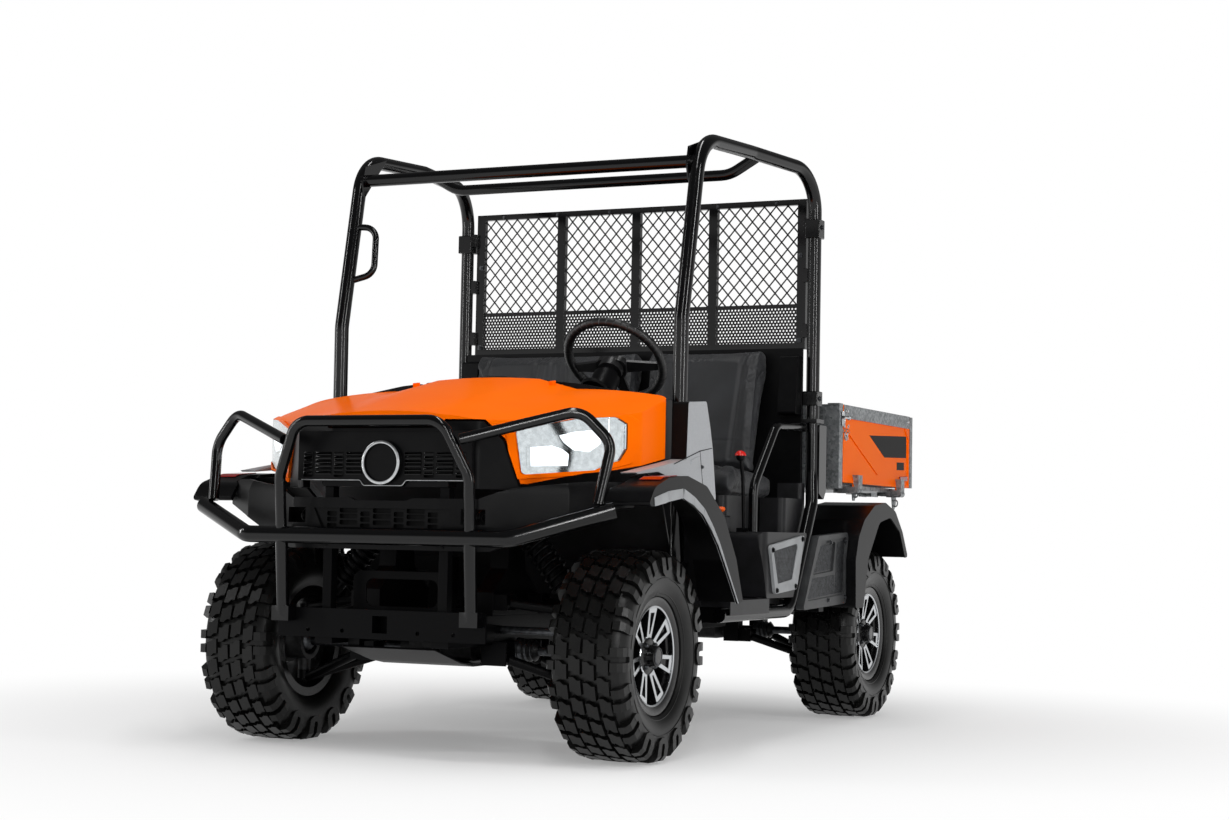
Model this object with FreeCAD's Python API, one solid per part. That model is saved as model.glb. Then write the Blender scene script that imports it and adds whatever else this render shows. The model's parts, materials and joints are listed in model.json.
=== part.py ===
"""Side by side utility vehicle: tube guard, roll cage, bench cab and a tipping drop-side bed.

Millimetres. +Z up, the vehicle faces -Y and its left (driver's) side is +X.
The origin is on the floor at the middle of the overall length and width.
"""
import FreeCAD, Part
import math
import os

Vec = FreeCAD.Vector

# ---------------------------------------------------------------- driving dimensions
overall_length = 3010.0
overall_height = 2020.0
body_width = 1600.0          # over the fender lips
wheelbase = 2010.0
track = 1225.0
front_overhang = 540.0       # guard's front face to the front axle
gap = 0.3                    # seat between a moving piece and what carries it
run_gap = 8.0                # free gap between moving panels
sheet = 4.0                  # moulded panel wall

nose_y = -overall_length / 2
front_axle = nose_y + front_overhang
rear_axle = front_axle + wheelbase
tail_y = overall_length / 2
half_width = body_width / 2

# wheels
tyre_diameter = 640.0
tyre_width = 254.0
rim_lip = 177.0              # radius of the rim's outer lip
rim_width = 190.0
barrel_wall = 7.0
spoke_pairs = 7
disc_in = 15.0               # hub's mounting face, outboard of the tyre's middle
hub_radius = 52.0
stud_circle = 90.0
stud_count = 4
axle_z = tyre_diameter / 2
wheel_x = track / 2

# suspension
kingpin_x = 540.0
ball_rise = 92.0             # ball joints above and below the axle
eye_half = 14.0              # half height of an arm's ball joint eye
arm_pivot_x = 256.0
arm_low_z = 300.0            # frame pivots of the lower and upper arms
arm_high_z = 470.0
arm_spread = 115.0           # half the distance between an arm's frame pivots
arm_tube = 30.0
bush_half = 25.0
bush_diameter = 40.0
lug_out = arm_pivot_x + bush_diameter / 2
ear_wall = 6.0
shock_low_x = 430.0
shock_high_x = 262.0
shock_high_z = 690.0
shaft_diameter = 28.0
rack_y = front_axle - 85.0   # steering rack ahead of the front axle
rack_z = 385.0
rack_bar = 24.0
steer_arm_x = kingpin_x - 20.0

# frame
rail_inner = 170.0
rail_outer = 230.0
rail_depth = 90.0
rail_top = 430.0
cross_depth = 60.0
cross_top = rail_top - 15.0
nose_plate_y = -1270.0
floor_z = 478.0
floor_wall = 22.0
floor_half = 755.0
sill_x = 726.0
sill_z = 430.0
sill_tube = 44.0

# cage
cage_tube = 48.0
cage_front_x = 630.0
cage_rear_x = 712.0
cage_front_y = front_axle + 320.0
cage_rear_y = 365.0
cage_foot_z = 600.0
cage_joint_z = 1092.0
cage_knee_z = 1373.0
cage_top = overall_height - cage_tube / 2

# guard
guard_tube = 33.0
bumper_tube = 51.0
strut_tube = 38.0
guard_front = nose_y + guard_tube / 2
bumper_y = nose_y + 67.0
bumper_z = 664.0
plate_half = 357.0
plate_low = 359.0
plate_high = 446.0
plate_y = bumper_y + 50.0
plate_wall = 8.0
receiver_bore = 51.0
receiver_wall = 6.0
plate_hole = 6.5
slot_half = 7.0              # half height of a grille slot

# nose
hood_front = -1398.0
hood_rear = -752.0
hood_half = 646.0
crown_base = 740.0           # foot of the hood's blank
lamp_lip = 4.0               # rim round a headlight, proud of the hood
hood_hinge_y = -700.0
hood_hinge_z = 1150.0
hood_arm_x = 250.0
nose_post_y = -1372.0
grille_half = 300.0
grille_low = 812.0
grille_high = 978.0
grille_face = hood_front + 6
hood_lip = 986.0             # lower edge of the hood above the grille
lamp_rim = 13.0              # width of that rim
panel_gap = 6.0              # seam between neighbouring mouldings
dash_rear = -575.0
dash_half = 596.0

# cab
bulkhead_y = 330.0
bulkhead_half = 684.0
pod_z = 700.0
pod_half = 745.0
shoulder_x = 699.0           # outer face of the pod's two steps
pod_corner = 44.0            # radius of the pod's front corner
seat_half = 604.0
side_panel_x = 735.0
sill_rise = ((110.0, 430.0), (330.0, 800.0))   # (y, z) where the sill tube rises
screen_y = 385.0
screen_low = 1360.0
screen_high = 1905.0
screen_half = 676.0
seat_z = 822.0
seat_front = -215.0
seat_rear = 205.0
cushion_height = 95.0
lever_x = 660.0
mat_depth = 5.0              # recess for the pod's mat
seat_places = ((95.0, 632.0), (-620.0, 70.0))    # x limits: driver's seat, bench
back_places = ((110.0, 560.0), (-600.0, 70.0))
steer_x = 300.0
steer_y = -425.0
steer_z = 1262.0
steer_radius = 180.0
steer_rake = 45.0            # column's slope above the floor
column_tube = 56.0
shroud_tube = 92.0

# bed
bed_front = 600.0
bed_half = 732.0
bed_floor_z = 884.0
bed_top = 1176.0
bed_wall = 32.0
top_rail = 48.0              # height of the galvanised rail along a side's top
rib_rise = 6.0               # floor ribs above the bed floor
bed_pivot_y = 1390.0
bed_pivot_z = 806.0
bed_floor_wall = 16.0
bed_pin = 24.0
gate_face = tail_y - 41.0    # inner face of the tailgate
strap_half = 20.0            # half width of a hinge strap
hinge_pin = 9.0
side_hinge_x = 742.0
side_hinge_z = 862.0
side_hinges = (790.0, 1310.0)
gate_hinge_y = tail_y - 8.0
gate_hinge_z = 862.0
gate_hinges = (-560.0, 560.0)
lift_eye_half = 18.0         # half width of the cylinder's eyes
lift_eye_y = 1220.0
lift_eye_z = 838.0
lift_base_y = 960.0
lift_base_z = 592.0

# drive line and hitch
case_half = 110.0
shaft_start = 160.0
shock_eye_rise = 34.0        # shock's lower eye above its arm
hitch_z = 440.0
hitch_end_y = 1440.0

os.makedirs("parts", exist_ok=True)


# ---------------------------------------------------------------- shape helpers
def box(x0, x1, y0, y1, z0, z1):
    return Part.makeBox(x1 - x0, y1 - y0, z1 - z0, Vec(x0, y0, z0))


def rod(start, end, diameter):
    start, end = Vec(*start), Vec(*end)
    return Part.makeCylinder(diameter / 2, (end - start).Length, start, end - start)


def joined(shapes):
    shapes = list(shapes)
    whole = shapes[0].multiFuse(shapes[1:]) if len(shapes) > 1 else shapes[0]
    return whole.removeSplitter()


def mirrored(shape):
    return shape.mirror(Vec(0, 0, 0), Vec(1, 0, 0))


def pair(shape):
    """A left piece and its mirror, as solids that don't touch."""
    return Part.makeCompound([shape, mirrored(shape)])


def rounded_wire(points, radius):
    """Closed outline of 3-D points in one plane, with its corners rounded by arcs."""
    points = [Vec(*p) for p in points]
    radii = radius if isinstance(radius, (list, tuple)) else [radius] * len(points)
    edges, tail, first = [], None, None
    for i, corner in enumerate(points):
        before, after = points[i - 1], points[(i + 1) % len(points)]
        a, b = (before - corner), (after - corner)
        half = a.getAngle(b) / 2
        if radii[i] > 0 and half < math.radians(87):
            cut = min(radii[i] / math.tan(half), 0.49 * a.Length, 0.49 * b.Length)
            bow = cut * math.tan(half) * (1 / math.sin(half) - 1)
            a.normalize()
            b.normalize()
            start, end = corner + a * cut, corner + b * cut
            middle = corner + (a + b).normalize() * bow
            arc = Part.Arc(start, middle, end).toShape()
        else:
            start = end = corner
            arc = None
        if tail is not None and (start - tail).Length > 1e-6:
            edges.append(Part.makeLine(tail, start))
        if first is None:
            first = start
        if arc:
            edges.append(arc)
        tail = end
    if (first - tail).Length > 1e-6:
        edges.append(Part.makeLine(tail, first))
    return Part.Wire(edges)


def slab_x(outline, x0, x1, radius=0):
    """Outline of (y, z) points, extruded along X."""
    face = Part.Face(rounded_wire([(x0, y, z) for y, z in outline], radius))
    return face.extrude(Vec(x1 - x0, 0, 0))


def slab_y(outline, y0, y1, radius=0):
    """Outline of (x, z) points, extruded along Y."""
    face = Part.Face(rounded_wire([(x, y0, z) for x, z in outline], radius))
    return face.extrude(Vec(0, y1 - y0, 0))


def slab_z(outline, z0, z1, radius=0):
    """Outline of (x, y) points, extruded along Z."""
    face = Part.Face(rounded_wire([(x, y, z0) for x, y in outline], radius))
    return face.extrude(Vec(0, 0, z1 - z0))


def tube(points, diameter, bend):
    """Round bar along straight runs joined by tangent arcs."""
    points = [Vec(*p) for p in points]
    edges, tail = [], points[0]
    for i in range(1, len(points) - 1):
        corner = points[i]
        a, b = points[i - 1] - corner, points[i + 1] - corner
        half = a.getAngle(b) / 2
        share_a = 0.9 if i == 1 else 0.48
        share_b = 0.9 if i == len(points) - 2 else 0.48
        cut = min(bend / math.tan(half), share_a * a.Length, share_b * b.Length)
        bow = cut * math.tan(half) * (1 / math.sin(half) - 1)
        a.normalize()
        b.normalize()
        start, end = corner + a * cut, corner + b * cut
        middle = corner + (a + b).normalize() * bow
        edges.append(Part.makeLine(tail, start))
        edges.append(Part.Arc(start, middle, end).toShape())
        tail = end
    edges.append(Part.makeLine(tail, points[-1]))
    path = Part.Wire(edges)
    circle = Part.makeCircle(diameter / 2, points[0], points[1] - points[0])
    return path.makePipeShell([Part.Wire([circle])], True, True)


def turned_x(profile, x, y, z):
    """Profile of (offset along X, radius) points, turned about a line along X."""
    wire = Part.makePolygon([Vec(x + u, y, z + r) for u, r in profile + profile[:1]])
    return Part.Face(wire).revolve(Vec(x, y, z), Vec(1, 0, 0), 360)


def rail(line, depth, x0, x1):
    """Box beam along (y, z of its top) points, with a constant upright depth."""
    low = [(y, z - depth) for y, z in reversed(line)]
    return slab_x(line + low, x0, x1)


def save(name, shape):
    solids = shape.Solids
    if not solids or not shape.isValid():
        raise ValueError(name + " is not a valid solid")
    out = solids[0] if len(solids) == 1 else Part.makeCompound(solids)
    out.exportStep("parts/" + name + ".step")
    print(name, len(solids), round(out.Volume / 1e6, 2), "litres")


# ---------------------------------------------------------------- frame
def ears(x0, x1, y, z0, z1):
    """Two lugs along X that hold a bush centred at y."""
    reach = bush_half + gap
    return [box(x0, x1, y - reach - ear_wall, y - reach, z0, z1),
            box(x0, x1, y + reach, y + reach + ear_wall, z0, z1)]


def rail_beam():
    """Left box rail, kicked up over the rear axle."""
    line = [(plate_y + plate_wall / 2, rail_top), (750, rail_top), (900, 560), (1420, 620)]
    return rail(line, rail_depth, rail_inner, rail_outer)


def frame():
    """Two kicked-up box rails with the lugs of the lower front arms."""
    parts = [rail_beam()]
    for y in (front_axle - arm_spread, front_axle + arm_spread):
        parts += ears(rail_outer - 40, lug_out, y, arm_low_z - 22, rail_top - rail_depth + 10)
    rack = rod((rail_inner - 10, rack_y, rack_z), (rail_outer + 10, rack_y, rack_z),
               rack_bar + 2 * gap)
    return pair(joined(parts).cut(rack))


def cross_members():
    """Cross tubes between the rails, the windowed nose plate, and the outriggers."""
    bars = [box(-rail_inner, rail_inner, y, y + 55, cross_top - cross_depth, cross_top)
            for y in (-1330, -680, -80, 330)]
    bars.append(box(-rail_inner, rail_inner, 1350, 1415, 480, 555))
    lift_bar = [box(-rail_inner, rail_inner, lift_base_y - 45, lift_base_y + 20, 480, 555)]
    for side in (1, -1):
        x = side * (lift_eye_half + gap + ear_wall / 2)
        lift_bar.append(box(x - ear_wall / 2, x + ear_wall / 2, lift_base_y - 30,
                            lift_base_y + 30, 550, lift_base_z + 26))
    bars.append(joined(lift_bar))
    plate = slab_y([(-rail_inner, 380), (rail_inner, 380), (rail_inner, 560), (-rail_inner, 560)],
                   nose_plate_y, nose_plate_y + 6, [0, 0, 30, 30])
    window = slab_y([(-125, 453), (125, 453), (125, 535), (-125, 535)], nose_plate_y - 5,
                    nose_plate_y + 10, 24)
    bars.append(plate.cut(window))
    # outriggers carry the floor, the sill tubes and the cage's front feet
    sill_inner = sill_x - sill_tube / 2 - gap
    arms = [box(rail_outer, sill_inner, y, y + 50, sill_z - 25, floor_z - floor_wall - gap)
            for y in (-480, -60)]
    arms.append(box(rail_outer, side_panel_x - gap, 395, 445, sill_z - 10, sill_z + 30))
    foot = joined([box(rail_inner, cage_front_x + 30, cage_front_y - 25, cage_front_y + 25,
                       cage_foot_z - 45, cage_foot_z),
                   box(rail_inner, rail_outer + 25, cage_front_y - 25, cage_front_y + 25,
                       rail_top - 20, cage_foot_z - 5)]).cut(rail_beam())
    return Part.makeCompound(bars + [pair(arm) for arm in arms + [foot]])


def front_subframe():
    """Towers over the front axle with arm and shock lugs, and the posts behind the grille."""
    tower = [(-150, rail_top), (150, rail_top), (150, 500), (60, 570), (45, 720),
             (-45, 720), (-60, 570), (-150, 500)]
    parts = [slab_x([(front_axle + y, z) for y, z in tower], rail_inner, rail_outer)]
    for y in (front_axle - arm_spread, front_axle + arm_spread):
        parts += ears(rail_outer - 10, lug_out, y, arm_high_z - 24, arm_high_z + 24)
    parts += ears(rail_outer - 10, shock_high_x + 24, front_axle, shock_high_z - 26,
                  shock_high_z + 24)
    side = joined(parts)
    bar = box(-rail_inner, rail_inner, front_axle - 45, front_axle + 45, 690, 720)
    post = box(185, 215, nose_post_y, nose_post_y + 32, rail_top, grille_low - gap)
    return Part.makeCompound([joined([side, mirrored(side), bar]), pair(post)])


def rear_subframe():
    """Cages under the kicked-up rails, shock towers, fender arms and bed pivot towers."""
    front, rear = rear_axle - 160, rear_axle + 160
    parts = [box(rail_inner, rail_outer, y, y + 50, 278, 530) for y in (front, rear - 50)]
    parts.append(box(rail_inner, rail_outer, front, rear, 278, 302))
    parts.append(box(rail_inner, rail_outer, front, rear, 440, 500))
    parts.append(box(rail_inner, rail_outer, rear_axle - 45, rear_axle + 45, 490, 784))
    for y in (rear_axle - arm_spread, rear_axle + arm_spread):
        parts += ears(rail_outer - 40, lug_out, y, arm_low_z - 22, 325)
        parts += ears(rail_outer - 10, lug_out, y, arm_high_z - 24, arm_high_z + 24)
    parts += ears(rail_outer - 10, shock_high_x + 24, rear_axle, shock_high_z - 26,
                  shock_high_z + 24)
    parts.append(box(rail_inner, 600, rear_axle - 15, rear_axle + 17, 756, 784.5))
    parts.append(box(rail_inner, rail_outer, bed_pivot_y - 35, bed_pivot_y + 25, 560,
                     bed_pivot_z + 22))
    pin = rod((rail_inner - 10, bed_pivot_y, bed_pivot_z),
              (rail_outer + 10, bed_pivot_y, bed_pivot_z), bed_pin + 2 * gap)
    return pair(joined(parts).cut(rail_beam()).cut(pin))


def rear_hitch():
    """Square receiver under the rear cross tube."""
    outer = receiver_bore / 2 + receiver_wall
    tube_body = box(-outer, outer, 1290, hitch_end_y, hitch_z - outer, hitch_z + outer)
    hanger = box(-60, 60, 1355, 1410, hitch_z, 480)
    half_bore = receiver_bore / 2
    bore = box(-half_bore, half_bore, 1300, hitch_end_y + 10, hitch_z - half_bore,
               hitch_z + half_bore)
    return joined([tube_body, hanger]).cut(bore)


def skid_plate():
    outline = [(-1340, 330), (-1180, 285), (-1100, 272), (700, 272), (700, 278), (-1099, 278),
               (-1179, 291), (-1338, 336)]
    pan = slab_x(outline, -160, 160)
    legs = [box(side * 130 - 20, side * 130 + 20, y, y + 40, 276, cross_top - cross_depth - gap)
            for side in (1, -1) for y in (-672, -72, 338)]
    legs += [box(side * 130 - 20, side * 130 + 20, -1325, -1295, 326, cross_top - cross_depth - gap)
             for side in (1, -1)]
    return joined([pan] + legs)


def powertrain():
    """Engine block, front gearcase and rear transaxle, each on lugs between the rails."""
    lugs = [box(-rail_inner + gap, rail_inner - gap, y, y + 60, 355, 400) for y in (460, 680)]
    cases = [joined([box(-150, 150, 420, 820, 345, 790)] + lugs)]
    for y, half, top, lug_z in ((front_axle, 66, 430, 360), (rear_axle, 105, 470, 442)):
        outline = [(y - half, 290), (y - half + 20, 283), (y + half - 20, 283), (y + half, 290),
                   (y + half, top - 30), (y + half - 30, top), (y - half + 30, top),
                   (y - half, top - 30)]
        case = slab_x(outline, -case_half, case_half, 8)
        boss = rod((-shaft_start, y, axle_z), (shaft_start, y, axle_z), 70)
        lugs = box(-rail_inner + gap, rail_inner - gap, y - 20, y + 20, lug_z, lug_z + 24)
        cases.append(joined([case, boss, lugs]))
    return Part.makeCompound(cases)


def arm(y, ball_z, drop, pivot_z, carries_shock):
    """One left A-arm: two tubes from the frame pivots to the ball joint, with bushes."""
    ball = (kingpin_x, y, ball_z)
    tip = (kingpin_x - 17, y, ball_z + drop)
    parts = []
    for side in (1, -1):
        inner = (arm_pivot_x, y + side * arm_spread, pivot_z)
        parts.append(rod(inner, tip, arm_tube))
        parts.append(rod((inner[0], inner[1] - bush_half, pivot_z),
                         (inner[0], inner[1] + bush_half, pivot_z), bush_diameter))
    parts.append(rod((ball[0], y, ball_z - eye_half), (ball[0], y, ball_z + eye_half), 40))
    if carries_shock:
        share = (kingpin_x - shock_low_x) / (kingpin_x - arm_pivot_x)
        z = ball_z + share * (pivot_z - ball_z)
        parts.append(box(shock_low_x - 20, shock_low_x + 20, y - 46, y + 46, z - 6, z + 14))
        parts += ears(shock_low_x - 20, shock_low_x + 20, y, z, z + shock_eye_rise + 16)
    return joined(parts)


def suspension_arms():
    arms = []
    for y in (front_axle, rear_axle):
        low = arm(y, axle_z - ball_rise - eye_half, -9, arm_low_z, False)
        high = arm(y, axle_z + ball_rise + eye_half, 6, arm_high_z, True)
        arms += [low, mirrored(low), high, mirrored(high)]
    return Part.makeCompound(arms)


def shock_absorbers():
    ball_z = axle_z + ball_rise + eye_half
    share = (kingpin_x - shock_low_x) / (kingpin_x - arm_pivot_x)
    low_z = ball_z + share * (arm_high_z - ball_z) + shock_eye_rise
    units = []
    for y in (front_axle, rear_axle):
        low, high = Vec(shock_low_x, y, low_z), Vec(shock_high_x, y, shock_high_z)
        run = high - low
        body = joined([rod(low, high, 32),
                       rod(low + run * 0.2, low + run * 0.78, 66),
                       rod((high.x, y - bush_half, high.z), (high.x, y + bush_half, high.z), 40),
                       rod((low.x, y - bush_half, low.z), (low.x, y + bush_half, low.z), 28)])
        units += [body, mirrored(body)]
    return Part.makeCompound(units)


def half_shafts():
    shafts = []
    for y in (front_axle, rear_axle):
        shaft = rod((shaft_start + gap, y, axle_z), (kingpin_x, y, axle_z), shaft_diameter)
        boot = Part.makeCone(40, 22, 66, Vec(rail_outer + 14, y, axle_z), Vec(1, 0, 0))
        ball = Part.makeSphere(34, Vec(kingpin_x, y, axle_z))
        unit = joined([shaft, boot, ball])
        shafts += [unit, mirrored(unit)]
    return Part.makeCompound(shafts)


def shaft_socket(y):
    return rod((kingpin_x - 60, y, axle_z), (kingpin_x + 44, y, axle_z), 88)


def upright(y, boss_gap):
    """Left hub carrier between the ball joints, with its wheel flange."""
    low, high = axle_z - ball_rise + boss_gap, axle_z + ball_rise - boss_gap
    post = rod((kingpin_x, y, low), (kingpin_x, y, high), 40)
    barrel = rod((kingpin_x - 22, y, axle_z), (kingpin_x + 60, y, axle_z), 116)
    flange = rod((kingpin_x + 55, y, axle_z), (wheel_x + disc_in - gap, y, axle_z), 140)
    return joined([post, barrel, flange]).cut(shaft_socket(y))


def knuckle(side):
    """Steered upright with a steering arm that reaches forward to the tie rod."""
    arm_top = rack_z - rack_bar / 2 - 2
    lever = slab_z([(kingpin_x - 22, front_axle - 30), (kingpin_x + 14, front_axle - 30),
                    (steer_arm_x + 16, rack_y - 14), (steer_arm_x - 16, rack_y - 14)],
                   arm_top - 16 - gap, arm_top - gap, 6)
    body = joined([upright(front_axle, gap), lever]).cut(shaft_socket(front_axle))
    return body if side > 0 else mirrored(body)


def tie_rods():
    """Rack bar through the frame rails, with a rod end over each steering arm."""
    bar = rod((-steer_arm_x, rack_y, rack_z), (steer_arm_x, rack_y, rack_z), rack_bar)
    ends = [rod((x, rack_y, rack_z - rack_bar / 2 - 2), (x, rack_y, rack_z + rack_bar / 2 + 2), 30)
            for x in (-steer_arm_x, steer_arm_x)]
    return joined([bar] + ends)


def rear_uprights():
    return pair(upright(rear_axle, 0))


# ---------------------------------------------------------------- wheels
def tyre(side, y):
    crown = tyre_diameter / 2
    half = tyre_width / 2
    bead = rim_lip - 20
    flange = rim_width / 2
    profile = [(-flange + 13, bead), (-flange + 13, rim_lip + 1), (-flange - 4, rim_lip + 3),
               (-half + 7, rim_lip + 28), (-half, 250), (-half + 9, 292),
               (-half + 30, crown - 8), (-40, crown), (40, crown), (half - 30, crown - 8),
               (half - 9, 292), (half, 250), (half - 7, rim_lip + 28), (flange + 4, rim_lip + 3),
               (flange - 13, rim_lip + 1), (flange - 13, bead)]
    return turned_x(profile, side * wheel_x, y, axle_z)


def spoke_bar(near, far, depth_in, depth_out, wall):
    """Tapered bar along +Z, its front facing +X: near and far are (reach, half width)."""
    plan = slab_x([(-near[1], near[0]), (near[1], near[0]), (far[1], far[0]),
                   (-far[1], far[0])], depth_in - 100, depth_out + 100)
    side = slab_y([(depth_in - wall, near[0]), (depth_in, near[0]), (depth_out, far[0]),
                   (depth_out - wall, far[0])], -60, 60)
    return plan.common(side)


def wheel(side, y):
    """Alloy rim: a barrel with lips, and forked spokes with windows between their ends."""
    half = rim_width / 2
    seat = rim_lip - 20 - gap
    ring_in = rim_lip - 31
    barrel = [(-half, rim_lip), (-half, seat - barrel_wall), (-half + 40, 140), (half - 34, 140),
              (half - 22, ring_in), (half - 8, ring_in), (half, rim_lip - 9), (half, rim_lip),
              (half - 11, rim_lip), (half - 12, seat), (-half + 12, seat), (-half + 11, rim_lip)]
    parts = [turned_x(barrel, 0, 0, 0)]
    disc_out = 74.0
    parts.append(turned_x([(disc_in, 0), (disc_in, hub_radius + 8), (disc_out - 6, hub_radius + 8),
                           (disc_out, hub_radius), (disc_out + 4, 34), (disc_out + 26, 31),
                           (disc_out + 30, 24), (disc_out + 30, 0)], 0, 0, 0))
    for i in range(spoke_pairs):
        angle = 360.0 / spoke_pairs * i
        spoke = spoke_bar((hub_radius - 6, 15), (ring_in + 4, 29), disc_out - 4, half - 10, 22)
        fork = spoke_bar((hub_radius + 14, 4), (ring_in - 16, 15), disc_out + 26, half + 20, 40)
        spoke = spoke.cut(fork)
        spoke.rotate(Vec(0, 0, 0), Vec(1, 0, 0), angle)
        parts.append(spoke)
    body = joined(parts)
    body = body.cut(rod((disc_in - 5, 0, 0), (disc_in + 25, 0, 0), 60))
    for i in range(stud_count):
        angle = math.radians(360 / stud_count * i + 45)
        y0, z0 = math.cos(angle) * stud_circle / 2, math.sin(angle) * stud_circle / 2
        body = body.cut(rod((disc_out - 14, y0, z0), (disc_out + 20, y0, z0), 19))
    if side < 0:
        body = mirrored(body)
    body.translate(Vec(side * wheel_x, y, axle_z))
    return body


# ---------------------------------------------------------------- guard
def front_guard():
    """Bumper tube, centre hoop, two lamp hoops and two struts, welded together."""
    end = (715, nose_y + 215, 751)
    bend = (450, bumper_y, bumper_z)
    bumper = tube([(-end[0], end[1], end[2]), (-bend[0], bend[1], bend[2]), bend, end],
                  bumper_tube, 60)
    foot = (323, bumper_y, bumper_z)
    knee = (325, nose_y + 53, 838)
    top = (250, guard_front, 1003)
    half_hoop = [foot, knee, top]
    hoop = tube(half_hoop + [(-x, y, z) for x, y, z in reversed(half_hoop)], guard_tube, 70)
    lamp_hoop = tube([(668, nose_y + 198, 768), (690, nose_y + 240, 945),
                      (600, nose_y + 216, 1040), (300, nose_y + 36, 948)], guard_tube, 70)
    strut = rod((foot[0], bumper_y, bumper_z), (foot[0], plate_y - 30, plate_high - 20), strut_tube)
    foot_block = box(foot[0] - 30, foot[0] + 30, plate_y - 48, plate_y - plate_wall / 2,
                     plate_high - 40, plate_high + 4)
    left = [lamp_hoop, strut, foot_block]
    return joined([bumper, hoop] + left + [mirrored(p) for p in left])


def guard_plate():
    """Folded plate with a 2-inch receiver and four bolt holes."""
    face = box(-plate_half, plate_half, plate_y - plate_wall / 2, plate_y + plate_wall / 2,
               plate_low, plate_high)
    outer = receiver_bore / 2 + receiver_wall
    centre_z = plate_low + 12 + outer
    receiver = box(-outer, outer, plate_y, plate_y + 50, centre_z - outer, centre_z + outer)
    body = joined([face, receiver])
    half = receiver_bore / 2
    body = body.cut(box(-half, half, plate_y - 20, plate_y + 45, centre_z - half, centre_z + half))
    for x in (-250, -130, 130, 250):
        body = body.cut(rod((x, plate_y - 20, plate_low + 22), (x, plate_y + 20, plate_low + 22),
                            2 * plate_hole))
    return body


# ---------------------------------------------------------------- nose
def nose_outline(inset):
    """Plan of the nose from the left rear, round the front, to the right rear."""
    left = [(hood_half, hood_rear), (hood_half, -960), (600, -1090), (400, -1290),
            (310, -1375), (180, hood_front)]
    left = [(x - inset, y + inset * (1.0 if y < -1000 else 0.0)) for x, y in left]
    return left + [(-x, y) for x, y in reversed(left)]


def crown(inset):
    """Solid under the hood's top: low side arcs, creased flanks and a raised centre."""
    # y, side's z at 700, flank's foot (x, z), flank's top (x, z), centre z
    table = ((hood_front - 40, 864, 240, 1013, 150, 1024, 1030),
             (-1200, 968, 270, 1058, 160, 1074, 1080),
             (-1000, 1030, 300, 1099, 180, 1120, 1126),
             (hood_rear, 1104, 321, 1143, 187, 1177, 1184))
    sections = []
    for y, side_z, foot_x, foot_z, top_x, top_z, centre_z in table:
        def at(x, z):
            return Vec(x, y, z - inset)

        bow = ((foot_x + 700) / 2, (foot_z + side_z) / 2 + 9)
        half = [Part.makeLine(at(700, crown_base + inset), at(700, side_z)),
                Part.Arc(at(700, side_z), at(*bow), at(foot_x, foot_z)).toShape(),
                Part.makeLine(at(foot_x, foot_z), at(top_x, top_z))]
        other = [edge.mirror(Vec(0, 0, 0), Vec(1, 0, 0)) for edge in reversed(half)]
        top = Part.Arc(at(top_x, top_z), at(0, centre_z), at(-top_x, top_z)).toShape()
        floor = Part.makeLine(at(-700, crown_base + inset), at(700, crown_base + inset))
        sections.append(Part.Wire(half + [top] + other + [floor]))
    return Part.makeLoft(sections, True, False)


def nose_opening(grow):
    """Outline of the grille and its surrounds in the hood's front, seen from the front."""
    half = [(402, 700, 1), (400, 815, 1), (364, 950, 1), (332, 990, 1), (318, 1006, 1),
            (213, 1006, -1), (195, hood_lip, -1)]
    half = [(x + grow * side, z + (grow if z > 700 else 0)) for x, z, side in half]
    return half + [(-x, z) for x, z in reversed(half)]


def hood():
    """Creased shell with sides, open below, with lamp rims and the grille opening."""
    outer = slab_z(nose_outline(0), 760, 1250, 40).common(crown(0))
    inner = slab_z(nose_outline(sheet), 740, 1250, 38).common(crown(sheet))
    rim_outer = slab_z(nose_outline(-lamp_lip), 760, 1250, 44).common(crown(-lamp_lip))
    window = lamp_window(0)
    rim = lamp_window(-lamp_rim).common(rim_outer).cut(inner)
    shell = joined([outer.cut(inner), rim, mirrored(rim)])
    rear_open = box(-hood_half + sheet, hood_half - sheet, hood_rear - 10, hood_rear + 10,
                    700, 1090)
    shell = shell.cut(rear_open)
    below = slab_x([(-1500, 700), (-600, 700), (-600, 940), (hood_rear, 925), (-1150, 862),
                    (-1270, 826), (-1500, 826)], -800, 800)
    shell = shell.cut(below).cut(slab_y(nose_opening(panel_gap), hood_front - 60, -1270))
    shell = shell.cut(window).cut(mirrored(window))
    return joined([largest(shell)] + [hood_arm(x) for x in (-hood_arm_x, hood_arm_x)])


def hood_arm(x):
    """Gooseneck from the hinge pin, down round the cowl's edge and up to the hood."""
    y, z = hood_hinge_y, hood_hinge_z
    neck = slab_x([(y + 12, z + 8), (y - 8, z + 12), (y - 34, z - 16), (y - 68, z - 16),
                   (y - 74, z + 19), (y - 100, z + 15), (y - 92, z - 36), (y - 30, z - 38),
                   (y + 12, z - 12)], x - 6, x + 6)
    pin = rod((x - 26, y, z), (x + 26, y, z), 14)
    return joined([neck, pin])


def largest(shape):
    return max(shape.Solids, key=lambda s: s.Volume)


def lamp_window(inset):
    """Prism along the lamp's view direction that bounds the left headlight."""
    outline = [(404, 852), (571, 872), (618, 903), (628, 940), (628, 1016), (612, 1034),
               (527, 1024), (390, 984)]
    middle = (515, 950)
    outline = [(x + (middle[0] - x) * inset / 90, z + (middle[1] - z) * inset / 90)
               for x, z in outline]
    return slab_y(outline, -1420, -960, 12)


def headlights():
    """Lamp bodies behind the hood's openings, their lenses following the nose."""
    window = lamp_window(0.6)
    outer = slab_z(nose_outline(2), 760, 1250, 38)
    inner = slab_z(nose_outline(70), 740, 1250, 20)
    body = largest(window.common(outer).cut(inner).common(box(300, 640, -1450, -985, 700, 1200)))
    return pair(body)


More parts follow.
